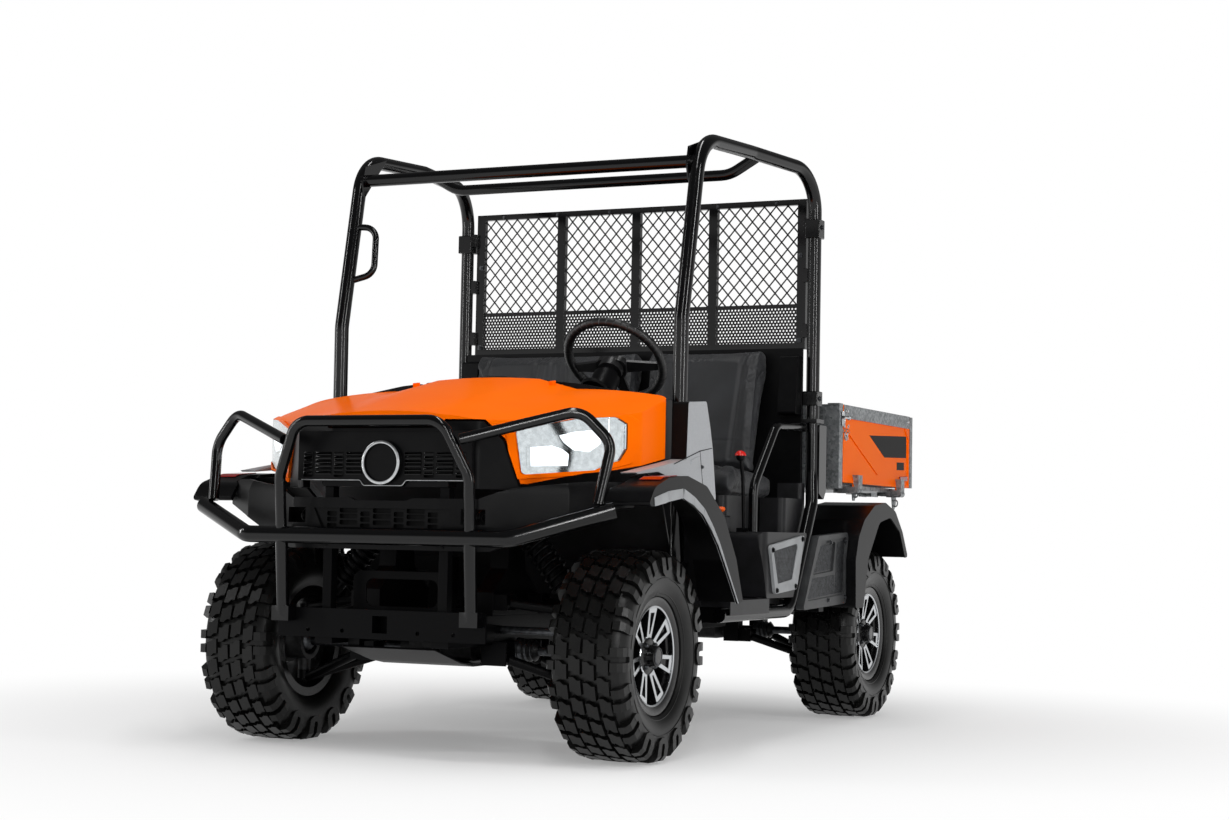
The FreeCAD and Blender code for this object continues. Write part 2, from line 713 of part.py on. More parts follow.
def slot_field(columns, rows, y):
    """Rounded slots through a panel at y: columns are (middle, half width, z offset)."""
    slots = []
    for middle, half, offset in columns:
        for z in rows:
            z = z + offset
            slots.append(slab_y([(middle - half, z - slot_half), (middle + half, z - slot_half),
                                 (middle + half, z + slot_half), (middle - half, z + slot_half)],
                                y - 30, y + 30, 4))
    return Part.makeCompound(slots)


def grille():
    """Slotted panel with a notched lower edge and a blank disc, and its moulded surrounds."""
    lower = grille_low + 17
    outline = [(-grille_half, lower), (-78, lower), (-66, grille_low), (66, grille_low),
               (78, lower), (grille_half, lower), (grille_half, grille_high),
               (-grille_half, grille_high)]
    panel = slab_y(outline, grille_face, grille_face + 14)
    columns = [(side * x, half, offset) for side in (1, -1)
               for x, half, offset in ((102, 29, 0), (156, 17, -12), (210, 29, 0),
                                       (264, 17, -12))]
    panel = panel.cut(slot_field(columns, (858, 883, 907), grille_face))
    disc = rod((0, grille_face - 16, 883), (0, grille_face + 6, 883), 130)
    disc = disc.cut(rod((0, grille_face - 20, 883), (0, grille_face - 11, 883), 112))
    stand = box(-218, 218, grille_face + 8, nose_post_y + 34, grille_low, lower + 8)
    around = slab_y(nose_opening(0), hood_front - 60, -1270)
    around = around.common(box(-500, 500, -1500, -1200, grille_low - 4, 1100))
    around = around.common(slab_z(nose_outline(2), 700, 1250, 39))
    around = around.cut(slab_z(nose_outline(28), 690, 1260, 20))
    around = around.cut(box(-292, 292, -1500, -1200, 700, grille_high))
    return joined([panel, disc, stand] + around.Solids)


def fascia_plan():
    left = [(708, -1080), (690, -1180), (560, -1275), (400, -1345), (320, -1388), (200, -1404)]
    return left + [(-x, y) for x, y in reversed(left)]


def fascia_volume(grow):
    """Bumper moulding's outer form: the top edge rolls in, the foot tucks under."""
    sections = []
    for z, roll in ((600, -14), (690, 0), (796, 0), (824, -8), (860, -30)):
        out = grow + roll
        plan = [(x + out * math.copysign(1, x), y - out, z) for x, y in fascia_plan()]
        sections.append(rounded_wire(plan, 30))
    return Part.makeLoft(sections, True, True)


def front_fascia():
    """Bumper moulding: wings sweep back from a centre with a notched beam and an intake."""
    top = hood_lip - 208
    half = [(345, 625), (575, 722), (706, 765), (706, 836), (600, 836), (408, 812), (372, 800),
            (330, 782), (320, top), (105, top), (88, top - 8)]
    front = half + [(-x, z) for x, z in reversed(half)]
    shell = fascia_volume(0).cut(fascia_volume(-12)).common(slab_y(front, -1500, -1050))
    shell = shell.cut(box(-800, 800, -1125, -1000, 500, 900))
    intake = slab_y([(-235, 747), (235, 747), (205, 688), (-205, 688)], -1460, -1380)
    shell = shell.cut(intake)
    for side in (1, -1):
        x0, x1 = sorted((side * 268, side * 340))
        shell = shell.cut(box(x0, x1, -1460, -1300, 702, 748))
    body = largest(shell)
    panel = box(-242, 242, -1394, -1386, 682, 753)
    columns = [(x, half, offset) for x, half, offset in
               [(x, 31, 0) for x in (-116, 0, 116)] + [(x, 17, -10) for x in (-174, -58, 58, 174)]]
    panel = panel.cut(slot_field(columns, (704, 723, 740), -1390))
    brackets = [box(side * 200 - 12, side * 200 + 12, -1398, nose_post_y - gap, 632, 655)
                for side in (1, -1)]
    return joined([body, panel] + brackets)


def front_fenders():
    """Wheel-arch mouldings: a top skin, an outer lip and a rear edge."""
    top = [(-1240, 770), (-1200, 822), (-1100, 852), (-960, 862), (-810, 835), (-665, 745),
           (-560, 610), (-500, 478)]
    lip = [(-545, 470), (-612, 546), (-715, 656), (-838, 747), (-994, 795), (-1211, 765)]
    inner_face = cage_front_x + cage_tube / 2 + 1
    outer = slab_x(top + lip, inner_face, half_width, [14] + [70] * 6 + [6, 6] + [70] * 4 + [14])
    inner_top = [(-1228, 760), (-1192, 812), (-1096, 842), (-962, 852), (-815, 826),
                 (-673, 738), (-570, 604), (-516, 470), (-516, 400), (-900, 400), (-1300, 700)]
    inner = slab_x(inner_top, 600, half_width - 5, [10] + [64] * 6 + [0] * 4)
    return pair(largest(outer.cut(inner).cut(fascia_volume(3))))


def cowl_sides():
    """Silver quarter panels between the hood, the fender and the door opening."""
    outline = [(-735, 1098), (-591, 1110), (-554, 1021), (-535, 964), (-502, 800), (-560, 770),
               (-672, 772), (-800, 848), (-960, 874), (-1110, 862), (-1120, 866), (-745, 920)]
    outer = slab_x(outline, 650, 702, [8, 14, 8, 8, 12, 6, 6, 20, 20, 0, 0, 0])
    inside = [(-728, 1092), (-596, 1104), (-559, 1021), (-540, 964), (-508, 804), (-560, 776),
              (-669, 778), (-790, 856), (-738, 916)]
    body = outer.cut(slab_x(inside, 600, 697))
    post = rod((cage_front_x, cage_front_y, 600), (cage_front_x + 4, cage_front_y, cage_knee_z),
               cage_tube + 2 * gap)
    return pair(largest(body.cut(post)))


def dash():
    """Cowl band behind the hood, the dash face and its lower housing."""
    outline = [(-743, 1040), (-743, 1176), (-700, 1192), (-640, 1190), (dash_rear, 1120),
               (dash_rear - 20, 980), (-660, 900), (-743, 900)]
    body = slab_x(outline, -dash_half, dash_half, 12)
    trimmed = slab_y([(-dash_half, 880), (dash_half, 880), (dash_half, 1112), (330, 1160),
                      (0, 1194), (-330, 1160), (-dash_half, 1112)], -800, -500)
    body = body.common(trimmed)
    cavity = slab_x([(-735, 890), (-735, 1080), (-735, 1090), (-640, 1090), (-600, 1070),
                     (-612, 990), (-672, 890)], -dash_half + 12, dash_half - 12)
    body = body.cut(cavity)
    for x in (-hood_arm_x, hood_arm_x):
        pocket = box(x - 13, x + 13, -760, hood_hinge_y + 20, hood_hinge_z - 55,
                     hood_hinge_z + 60)
        pin_hole = rod((x - 27, hood_hinge_y, hood_hinge_z), (x + 27, hood_hinge_y, hood_hinge_z),
                       14 + 2 * gap)
        body = body.cut(pocket).cut(pin_hole)
    column = rod(steering_point(-340, 0), steering_point(-50, 0), column_tube + 2 * gap)
    shroud = rod(steering_point(-230 - gap, 0), steering_point(-60, 0), shroud_tube + 2 * gap)
    return largest(body.cut(column).cut(shroud))


def floor_pan():
    """Footwell: flat floor with side steps, and a toe board that leans over the axle."""
    plan = [(650, -574), (650, -494), (floor_half, -494), (floor_half, -150),
            (700, -150), (700, 90), (600, bulkhead_y - gap)]
    plan = plan + [(-x, y) for x, y in reversed(plan)]
    floor = slab_z(plan, floor_z - floor_wall, floor_z)
    toe = slab_x([(-574, floor_z - 4), (-566, floor_z - 4), (-604, 620), (-728, 894),
                  (-728, 900 - gap), (-740, 900 - gap), (-740, 890), (-612, 620)], -596, 596)
    lips = [box(side * (floor_half - 2) - 2, side * (floor_half - 2) + 2, -494, -150,
                floor_z - 48, floor_z - 10) for side in (1, -1)]
    return joined([floor, toe] + lips)


# ---------------------------------------------------------------- cab
def seat_base():
    """Closed housing under the seats: narrow between the pods, wide above them."""
    rear = bulkhead_y - gap
    low = slab_x([(-150, floor_z + gap), (rear, floor_z + gap), (rear, pod_z + 10),
                  (-180, pod_z + 10)], -440, 440, [10, 0, 0, 10])
    high = slab_z([(-seat_half, -190), (seat_half, -190), (seat_half, rear), (-seat_half, rear)],
                  pod_z + gap, seat_z - gap, [30, 30, 0, 0])
    body = joined([low, high])
    for x0, x1 in ((-400, -60), (60, 400)):
        body = body.cut(slab_y([(x0, 520), (x1, 520), (x1, 660), (x0, 660)], -220, -152, 18))
    return body


def side_pods():
    """Moulded housings beside the seat base: a matted shelf in front, two steps behind."""
    rear = bulkhead_y - gap
    inner = 440 + gap
    round_corner = slab_z([(inner, -186), (pod_half, -186), (pod_half, rear), (inner, rear)],
                          400, 900, [0, pod_corner, 0, 0])
    body = slab_x([(-150, floor_z + gap), (sill_line(floor_z) - 34, floor_z + gap),
                   (sill_line(pod_z) - 34, pod_z), (-186, pod_z)], inner, pod_half, [8, 8, 8, 22])
    body = body.common(round_corner)
    mat = slab_z([(seat_half + 18, -168), (pod_half - 16, -168), (pod_half - 16, 92),
                  (seat_half + 18, 92)], pod_z - mat_depth, pod_z + 20, [12, pod_corner, 12, 12])
    back = slab_x([(60, floor_z + gap), (rear, floor_z + gap), (rear, pod_z), (60, pod_z)],
                  inner, seat_half - 4)
    steps = []
    for y, z0, z1, corner in ((122, pod_z - 10, seat_z - 2, 26), (292, seat_z - 6, seat_z + 54, 14)):
        plan = [(seat_half + 6, y), (shoulder_x, y), (shoulder_x, rear), (seat_half + 6, rear)]
        steps.append(slab_z(plan, z0, z1, [0, corner, 0, 0]))
    return pair(joined([body.cut(mat), back] + steps))


def sill_line(z):
    """y of the sill tube's middle where it rises past the pod."""
    return sill_rise[0][0] + (z - sill_rise[0][1]) * (
        (sill_rise[1][0] - sill_rise[0][0]) / (sill_rise[1][1] - sill_rise[0][1]))


def pod_grilles():
    """Bolted side covers with a sunk window for the perforated screen."""
    outline = [(-145, 655), (185, 692), (112, 506), (-95, 492)]
    window = [(-118, 636), (120, 664), (66, 540), (-72, 526)]
    body = slab_x(outline, pod_half + gap, pod_half + 11, [14, 10, 22, 14])
    return pair(body.cut(slab_x(window, pod_half + 6, pod_half + 20, [10, 12, 16, 10])))


def rear_bulkhead():
    """Rear wall of the cab with pressed ribs, and the shelf that the screen stands on."""
    panel = box(-bulkhead_half, bulkhead_half, bulkhead_y, bulkhead_y + 12, 560,
                screen_low - gap)
    ribs = [box(x - 8, x + 8, bulkhead_y + 12, bulkhead_y + 26, 600, screen_low - 40)
            for x in (-440, 0, 440)]
    shelf = box(-640, 640, bulkhead_y + 8, screen_y + 11, screen_low - 8, screen_low - gap)
    return joined([panel, shelf] + ribs)


def cushion(x0, x1):
    outline = [(seat_front, seat_z + 18), (seat_front + 40, seat_z), (seat_rear, seat_z),
               (seat_rear, seat_z + 70), (seat_front + 60, seat_z + cushion_height),
               (seat_front, seat_z + 66)]
    return slab_x(outline, x0, x1, 16)


def backrest(x0, x1):
    outline = [(seat_rear - 40, seat_z + 84), (seat_rear + 18, seat_z + 80),
               (bulkhead_y - gap, seat_z + 440), (bulkhead_y - gap, seat_z + 520),
               (seat_rear + 66, seat_z + 538),
               (seat_rear + 30, seat_z + 500)]
    return slab_x(outline, x0, x1, 16)


def steering_point(u, v, w=0.0):
    """Point at u along the column (up towards the driver), v across it, w sideways."""
    rake = math.radians(steer_rake)
    return (steer_x + w, steer_y + u * math.cos(rake) - v * math.sin(rake),
            steer_z + u * math.sin(rake) + v * math.cos(rake))


def steering_wheel():
    """Rim, rounded centre pad and three dished spokes, made flat and then leant back."""
    reach = steer_radius - 16
    parts = [Part.makeTorus(steer_radius - 15, 15, Vec(0, 0, 0), Vec(1, 0, 0)),
             rod((-62, 0, 0), (-30, 0, 0), 84)]
    pad = [(-62, 34), (62, 34), (40, -46), (-40, -46)]
    parts.append(slab_x(pad, -40, -18, 26))
    for angle in (100, 180, 260):
        spoke = spoke_bar((26, 25), (reach, 13), -20, 5, 11)
        spoke.rotate(Vec(0, 0, 0), Vec(1, 0, 0), angle)
        parts.append(spoke)
    body = joined(parts)
    body.rotate(Vec(0, 0, 0), Vec(0, 0, 1), 90)
    body.rotate(Vec(0, 0, 0), Vec(1, 0, 0), steer_rake)
    body.translate(Vec(*steering_point(0, 0)))
    return body


def steering_column():
    column = rod(steering_point(-330, 0), steering_point(-62 - gap, 0), column_tube)
    shroud = rod(steering_point(-230, 0), steering_point(-90, 0), shroud_tube)
    return joined([column, shroud])


def roll_cage():
    """Two bent side hoops, cross tubes, corner gussets and the passenger's handle."""
    def hoop(side):
        return tube([(side * cage_front_x, cage_front_y, cage_foot_z + gap),
                     (side * (cage_front_x + 4), cage_front_y, cage_knee_z),
                     (side * (cage_front_x + 8), -527, cage_top - 26),
                     (side * (cage_front_x + 15), -95, cage_top),
                     (side * cage_rear_x, cage_rear_y, cage_top),
                     (side * cage_rear_x, cage_rear_y, 1104)], cage_tube, 150)
    front_bar = rod((-cage_front_x - 5, -541, 1893), (cage_front_x + 5, -541, 1893), 42)
    low = cage_top - 62
    mid_bar = tube([(-cage_front_x - 12, -30, cage_top - 4), (-540, -30, low), (540, -30, low),
                    (cage_front_x + 12, -30, cage_top - 4)], 38, 120)
    handle = tube([(-cage_front_x - 2, -578, 1728), (-552, -570, 1722), (-545, -590, 1560),
                   (-cage_front_x - 2, -606, 1536)], 22, 45)
    feet = [box(side * (cage_rear_x + 2) - 28, side * (cage_rear_x + 2) + 28, cage_rear_y - 38,
                cage_rear_y + 38, cage_joint_z, cage_joint_z + 14) for side in (1, -1)]
    gussets = []
    for side in (1, -1):
        inner, outer = sorted((side * (cage_front_x - 22), side * (cage_front_x - 16)))
        gussets.append(slab_x([(-560, 1830), (-420, 1985), (-560, 1940), (-575, 1880)],
                              inner, outer))
    return joined([hoop(1), hoop(-1), front_bar, mid_bar, handle] + feet + gussets)


def side_bars():
    """Sill tubes that rise to the cage's rear feet in post covers, and the hip bars."""
    (y0, z0), (y1, z1) = sill_rise
    sill = tube([(sill_x, -520, z0), (sill_x, y0, z0), (sill_x, y1, z1),
                 (cage_rear_x, cage_rear_y, 910), (cage_rear_x, cage_rear_y, cage_joint_z - gap)],
                sill_tube, 90)
    hip_x = 690
    hip = tube([(hip_x, -146, pod_z + gap), (hip_x, -146, 850), (hip_x, 60, 1066),
                (hip_x, 325, 1076)], 30, 70)
    plate = box(bulkhead_half + 2, hip_x + 14, 312, cage_rear_y - sill_tube / 2 - 4, 1060,
                cage_joint_z - gap)
    cover = slab_x([(cage_rear_y, 842), (cage_rear_y + 50, 820), (cage_rear_y + 74, 850),
                    (cage_rear_y + 74, cage_joint_z - 6), (cage_rear_y, cage_joint_z - 6)],
                   cage_rear_x - 22, cage_rear_x + 28, 6)
    left = [joined([sill, cover]), joined([hip, plate])]
    return Part.makeCompound(left + [mirrored(bar) for bar in left])


def screen_parts():
    """Welded rear screen frame, and the four mesh panels inside it."""
    thick = 22.0
    y0, y1 = screen_y - thick / 2, screen_y + thick / 2
    frame_body = box(-screen_half, screen_half, y0, y1, screen_low, screen_high)
    opening = (642.0, 1384.0, 1884.0)
    bars = (-312, 0, 312)
    bar_half = 17.0
    edges = [-opening[0]] + [b + s * bar_half for b in bars for s in (-1, 1)] + [opening[0]]
    panels = []
    for left, right in zip(edges[0::2], edges[1::2]):
        frame_body = frame_body.cut(box(left, right, y0 - 5, y1 + 5, opening[1], opening[2]))
        panels.append(box(left, right, screen_y - 2, screen_y + 2, opening[1], opening[2]))
    tabs = []
    for side in (1, -1):
        inner, outer = sorted((side * (screen_half - 4), side * (cage_rear_x - 8)))
        tabs += [box(inner, outer, cage_rear_y - 10, screen_y + 5, z, z + 50)
                 for z in (1400, 1600, 1780)]
    frame_body = joined([frame_body] + tabs)
    for side in (1, -1):
        post = rod((side * cage_rear_x, cage_rear_y, 1300), (side * cage_rear_x, cage_rear_y, 1850),
                   cage_tube + 2 * gap)
        frame_body = frame_body.cut(post)
    return frame_body, Part.makeCompound(panels)


def belt_covers():
    outline = [(bulkhead_y - 62, 1120), (bulkhead_y - gap, 1120), (bulkhead_y - gap, 1330),
               (bulkhead_y - 40, 1330)]
    return pair(slab_x(outline, 614, 682, 10))


def levers():
    """Gear lever with its knob and its foot in the driver's pod mat."""
    mat_z = pod_z - mat_depth
    stick = tube([(lever_x, -150, mat_z + 8), (lever_x, -166, 880), (lever_x, -188, 945)], 12, 60)
    knob = Part.makeSphere(17, Vec(lever_x, -190, 952))
    foot = box(lever_x - 22, lever_x + 14, -164, -138, mat_z + gap, pod_z + 12)
    return joined([stick, knob, foot])


def rear_side_panels():
    """Panels ahead of the rear wheels, with a sunk field and a deeper, narrower one in it."""
    front_low, front_high = sill_line(432) + 40, sill_line(690) + 40
    outline = [(front_high, 690), (632, 706), (599, 608), (605, 447), (front_low, 432)]
    outer = slab_x(outline, side_panel_x, 765, [10, 22, 10, 16, 10])
    recess = slab_x([(front_high + 24, 672), (606, 688), (580, 606), (584, 480),
                     (front_low + 36, 462)], 759, 780, 10)
    deep = slab_x([(front_high + 38, 660), (498, 672), (474, 566), (front_low + 100, 552)],
                  752, 780, 10)
    return pair(outer.cut(recess).cut(deep))


def rear_fenders():
    """Arched mouldings over the rear wheels: top skin and outer lip."""
    top = [(612, 430), (606, 605), (640, 690), (701, 752), (820, 808), (948, 822), (1073, 790),
           (1165, 712), (1236, 615)]
    lip = [(1200, 612), (1130, 712), (1011, 766), (880, 745), (753, 612), (700, 430)]
    outer = slab_x(top + lip, 560, half_width, [10] + [60] * 7 + [10, 10] + [60] * 4 + [10])
    inside = [(618, 420), (614, 604), (648, 686), (706, 745), (823, 800), (947, 814),
              (1069, 783), (1159, 706), (1226, 600), (1226, 380), (618, 380)]
    inner = slab_x(inside, 540, half_width - 6, [10] + [54] * 7 + [0] * 3)
    return pair(largest(outer.cut(inner)))


# ---------------------------------------------------------------- bed
def hinge_pair(lug, along, offset, places):
    """Lugs and pins at each hinge: lug is a (low, high) box, along is 0 for X or 1 for Y."""
    parts = []
    for place in places:
        for side in (1, -1):
            near = place + side * (strap_half + 0.5)
            far = near + side * 6
            a, b = sorted((near, far))
            (lo0, lo1), (hi0, hi1) = lug
            parts.append(box(a, b, lo0, hi0, lo1, hi1) if along == 0
                         else box(lo0, hi0, a, b, lo1, hi1))
        start = place - strap_half - 6
        end = place + strap_half + 6
        p, z = offset
        line = ((start, p, z), (end, p, z)) if along == 0 else ((p, start, z), (p, end, z))
        parts.append(rod(line[0], line[1], hinge_pin))
    return parts


def bed_floor():
    """Ribbed bed floor with its front wall, corner posts, hinge lugs and pivoting sub-frame."""
    rear = gate_face - run_gap
    inner = bed_half - bed_wall - 5
    floor = box(-inner, inner, bed_front, rear, bed_floor_z - bed_floor_wall, bed_floor_z)
    wall = box(-inner, inner, bed_front, bed_front + 30, bed_floor_z - bed_floor_wall, bed_top)
    parts = [floor, wall]
    for x in range(-540, 541, 180):
        parts.append(box(x - 40, x + 40, bed_front + 30, rear - 12, bed_floor_z - 4,
                         bed_floor_z + rib_rise))
    for x in (-460, 0, 460):
        parts.append(slab_z([(x - 110, bed_front - 8), (x + 110, bed_front - 8),
                             (x + 90, bed_front + 4), (x - 90, bed_front + 4)],
                            bed_floor_z + 50, bed_top - 60))
    for side in (1, -1):
        x0, x1 = sorted((side * (bed_half - 45), side * bed_half))
        parts.append(box(x0, x1, bed_front, bed_front + 40, bed_floor_z - bed_floor_wall, bed_top))
        parts.append(box(x0, x1, bed_front - 4, bed_front + 40, bed_top - 3, bed_top + 4))
        parts.append(box(side * 262 - 22, side * 262 + 22, bed_front + 20, rear - 10,
                         bed_floor_z - 56, bed_floor_z - 14))
        x0, x1 = sorted((side * (rail_outer + 3), side * (rail_outer + 53)))
        parts.append(slab_x([(bed_pivot_y - 30, bed_floor_z - 40),
                             (bed_pivot_y + 30, bed_floor_z - 40),
                             (bed_pivot_y + 22, bed_pivot_z - 22),
                             (bed_pivot_y - 22, bed_pivot_z - 22)], x0, x1, 14))
        parts.append(rod((side * (rail_inner + 5), bed_pivot_y, bed_pivot_z),
                         (side * (rail_outer + 50), bed_pivot_y, bed_pivot_z), bed_pin))
        x = side * (lift_eye_half + 3 + ear_wall / 2)
        parts.append(box(x - ear_wall / 2, x + ear_wall / 2, lift_eye_y - 26, lift_eye_y + 26,
                         lift_eye_z - 24, bed_floor_z - 14))
        x0, x1 = sorted((side * (inner - 40), side * (side_hinge_x + 8)))
        lug = ((x0, side_hinge_z - 9), (x1, bed_floor_z - 7))
        parts += hinge_pair(lug, 1, (side * side_hinge_x, side_hinge_z), side_hinges)
    lug = ((rear - 40, gate_hinge_z - 9), (gate_hinge_y + 8, bed_floor_z - 7))
    parts += hinge_pair(lug, 0, (gate_hinge_y, gate_hinge_z), gate_hinges)
    return joined(parts)


def drop_side(side):
    """Hinged side: a sunk pressed panel in a flanged frame, a top rail and hinge straps."""
    y0, y1 = bed_front + 40 + run_gap, gate_face - run_gap
    low = bed_floor_z + 6
    body = box(bed_half - bed_wall, bed_half, y0, y1, low, bed_top)
    rail_z = bed_top - top_rail
    # faces sink between the end flanges, the foot and the top rail
    for x0, x1, z1 in ((bed_half - 4, bed_half + 10, rail_z),
                       (bed_half - bed_wall - 10, bed_half - bed_wall + 6, bed_top - 20)):
        body = body.cut(slab_x([(y0 + 12, low + 10), (y1 - 12, low + 10), (y1 - 12, z1),
                                (y0 + 12, z1)], x0, x1, 4))
    crease = slab_x([(y0 + 60, rail_z - 60), (y0 + 84, rail_z - 60), (y0 + 420, low + 40),
                     (y0 + 396, low + 40)], bed_half - 8, bed_half + 10)
    cut_corner = slab_x([(y1 - 60, rail_z + 1), (y1 - 11, rail_z + 1), (y1 - 11, rail_z - 44)],
                        bed_half - 5, bed_half)
    parts = [body.cut(crease), cut_corner]
    for y in side_hinges:
        parts.append(box(bed_half - 6, side_hinge_x + 8, y - strap_half, y + strap_half,
                         side_hinge_z, bed_floor_z + 34))
        parts.append(rod((side_hinge_x, y - strap_half, side_hinge_z),
                         (side_hinge_x, y + strap_half, side_hinge_z), 20))
    body = joined(parts)
    for y in side_hinges:
        body = body.cut(rod((side_hinge_x, y - strap_half - 5, side_hinge_z),
                            (side_hinge_x, y + strap_half + 5, side_hinge_z), hinge_pin + 2 * gap))
    return body if side > 0 else mirrored(body)


def tailgate():
    """Hinged gate: flanged frame with a sunk, ribbed panel, a top rail and hinge straps."""
    low = bed_floor_z + 6
    back = gate_face + bed_wall
    body = box(-bed_half, bed_half, gate_face, back, low, bed_top)
    field = slab_y([(-bed_half + 45, low + 12), (bed_half - 45, low + 12),
                    (bed_half - 45, bed_top - top_rail), (-bed_half + 45, bed_top - top_rail)],
                   back - 9, back + 10, 6)
    body = body.cut(field)
    parts = [body]
    for x in (-360, 0, 360):
        parts.append(box(x - 45, x + 45, back - 12, back - 1, low + 4, bed_top - top_rail + 4))
    for x in gate_hinges:
        parts.append(box(x - strap_half, x + strap_half, back - 12,
                         gate_hinge_y + 8, gate_hinge_z, bed_floor_z + 60))
        parts.append(rod((x - strap_half, gate_hinge_y, gate_hinge_z),
                         (x + strap_half, gate_hinge_y, gate_hinge_z), 16))
    body = joined(parts)
    for x in gate_hinges:
        body = body.cut(rod((x - strap_half - 5, gate_hinge_y, gate_hinge_z),
                            (x + strap_half + 5, gate_hinge_y, gate_hinge_z),
                            hinge_pin + 2 * gap))
    return body


def lift_parts():
    """Tipping cylinder: barrel on the frame and rod up to the bed's clevis."""
    base, eye = Vec(0, lift_base_y, lift_base_z), Vec(0, lift_eye_y, lift_eye_z)
    along = eye - base
    length = along.Length
    along.normalize()
    barrel = joined([Part.makeCylinder(29, length - 120, base + along * 42, along),
                     Part.makeCylinder(17, 60, base, along)])
    trunnion = rod((-lift_eye_half, lift_base_y, lift_base_z),
                   (lift_eye_half, lift_base_y, lift_base_z), 50)
    barrel = joined([barrel, trunnion])
    barrel = barrel.cut(Part.makeCylinder(16 + gap, length, base + along * 60, along))
    piston = Part.makeCylinder(16, length - 70, base + along * 70, along)
    eye_ring = rod((-lift_eye_half, lift_eye_y, lift_eye_z), (lift_eye_half, lift_eye_y, lift_eye_z),
                   40)
    return barrel, joined([piston, eye_ring])


# ---------------------------------------------------------------- build
save("frame", frame())
save("cross_members", cross_members())
save("front_subframe", front_subframe())
save("rear_subframe", rear_subframe())
save("rear_hitch", rear_hitch())
save("skid_plate", skid_plate())
save("powertrain", powertrain())
save("suspension_arms", suspension_arms())
save("shock_absorbers", shock_absorbers())
save("half_shafts", half_shafts())
save("rear_uprights", rear_uprights())
for label, side in (("left", 1), ("right", -1)):
    save("knuckle_" + label, knuckle(side))
    for place, y in (("front", front_axle), ("rear", rear_axle)):
        save("tyre_" + place + "_" + label, tyre(side, y))
        save("wheel_" + place + "_" + label, wheel(side, y))
save("tie_rods", tie_rods())
save("front_guard", front_guard())
save("guard_plate", guard_plate())
save("hood", hood())
save("headlights", headlights())
save("grille", grille())
save("front_fascia", front_fascia())
save("front_fenders", front_fenders())
save("cowl_sides", cowl_sides())
save("dash", dash())
save("floor_pan", floor_pan())
save("seat_base", seat_base())
save("side_pods", side_pods())
save("pod_grilles", pod_grilles())
save("rear_bulkhead", rear_bulkhead())
save("seat_cushions", Part.makeCompound([cushion(*place) for place in seat_places]))
save("seat_backrests", Part.makeCompound([backrest(*place) for place in back_places]))
save("steering_wheel", steering_wheel())
save("steering_column", steering_column())
save("roll_cage", roll_cage())
save("side_bars", side_bars())
screen_frame, screen_mesh = screen_parts()
save("screen_frame", screen_frame)
save("screen_mesh", screen_mesh)
save("belt_covers", belt_covers())
save("levers", levers())
save("rear_side_panels", rear_side_panels())
save("rear_fenders", rear_fenders())
save("bed_floor", bed_floor())
save("bed_side_left", drop_side(1))
save("bed_side_right", drop_side(-1))
save("tailgate", tailgate())
barrel, lift_rod = lift_parts()
save("lift_barrel", barrel)
save("lift_rod", lift_rod)
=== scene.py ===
# %% [markdown]
# # A side by side utility vehicle
# The construction comes from the imported model: every panel, tube and wheel is already in its place, in metres.
# Here each surface gets its finish, and the pieces that a construction model leaves out are added: tread, lamps,
# springs, cushions, wire mesh, bolts and trim. Every added piece rides on the body that carries it.

# %% The frame
import bpy
import bmesh
import json
import math
from mathutils import Matrix, Vector


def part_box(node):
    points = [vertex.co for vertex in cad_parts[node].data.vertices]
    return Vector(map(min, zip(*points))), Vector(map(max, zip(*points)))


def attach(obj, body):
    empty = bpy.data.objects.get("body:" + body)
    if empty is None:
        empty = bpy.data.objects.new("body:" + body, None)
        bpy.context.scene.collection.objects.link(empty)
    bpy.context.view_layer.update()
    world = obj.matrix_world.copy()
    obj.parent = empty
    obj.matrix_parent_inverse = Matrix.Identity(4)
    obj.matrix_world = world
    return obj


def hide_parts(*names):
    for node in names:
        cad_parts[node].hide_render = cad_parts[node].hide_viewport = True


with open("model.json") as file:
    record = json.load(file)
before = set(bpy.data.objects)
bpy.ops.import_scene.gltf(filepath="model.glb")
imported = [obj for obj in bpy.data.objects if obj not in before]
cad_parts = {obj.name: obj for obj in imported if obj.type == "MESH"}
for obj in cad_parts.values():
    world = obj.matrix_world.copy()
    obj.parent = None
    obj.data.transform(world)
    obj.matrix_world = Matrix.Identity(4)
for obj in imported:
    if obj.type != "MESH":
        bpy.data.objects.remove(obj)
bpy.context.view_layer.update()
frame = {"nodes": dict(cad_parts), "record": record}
nodes = frame["nodes"]

# %% [markdown]
# ## Camera
# The lens is a short telephoto at about knee height, a few steps off the left front corner, so that the nose
# looks large and the cage stands tall. The camera is built from its azimuth, elevation and roll. Two small
# functions come first, because later cells make meshes and objects all the time.


# %% Camera
def to_mesh(name, bm):
    """A mesh from a bmesh, which is freed."""
    mesh = bpy.data.meshes.new(name)
    bm.to_mesh(mesh)
    bm.free()
    return mesh


def add_object(name, data):
    """A new object in the scene."""
    obj = bpy.data.objects.new(name, data)
    bpy.context.scene.collection.objects.link(obj)
    return obj


camera_place = Vector((3.334, -6.871, 0.686))
azimuth, elevation, roll = (math.radians(v) for v in (25.2, -3.29, 1.08))
back = Vector((math.sin(azimuth) * math.cos(elevation), -math.cos(azimuth) * math.cos(elevation),
               math.sin(elevation)))
side = (-back).cross(Vector((0, 0, 1))).normalized()
upward = side.cross(-back)
rolled_side = side * math.cos(roll) + upward * math.sin(roll)
rolled_up = upward * math.cos(roll) - side * math.sin(roll)
camera = add_object("camera", bpy.data.cameras.new("camera"))
camera.data.sensor_width = 36.0
camera.data.lens = 62.83
camera.data.clip_end = 200.0
camera.matrix_world = Matrix.Translation(camera_place) @ Matrix(
    (rolled_side, rolled_up, back)).transposed().to_4x4()
bpy.context.scene.camera = camera
print("camera at", tuple(round(v, 2) for v in camera_place))

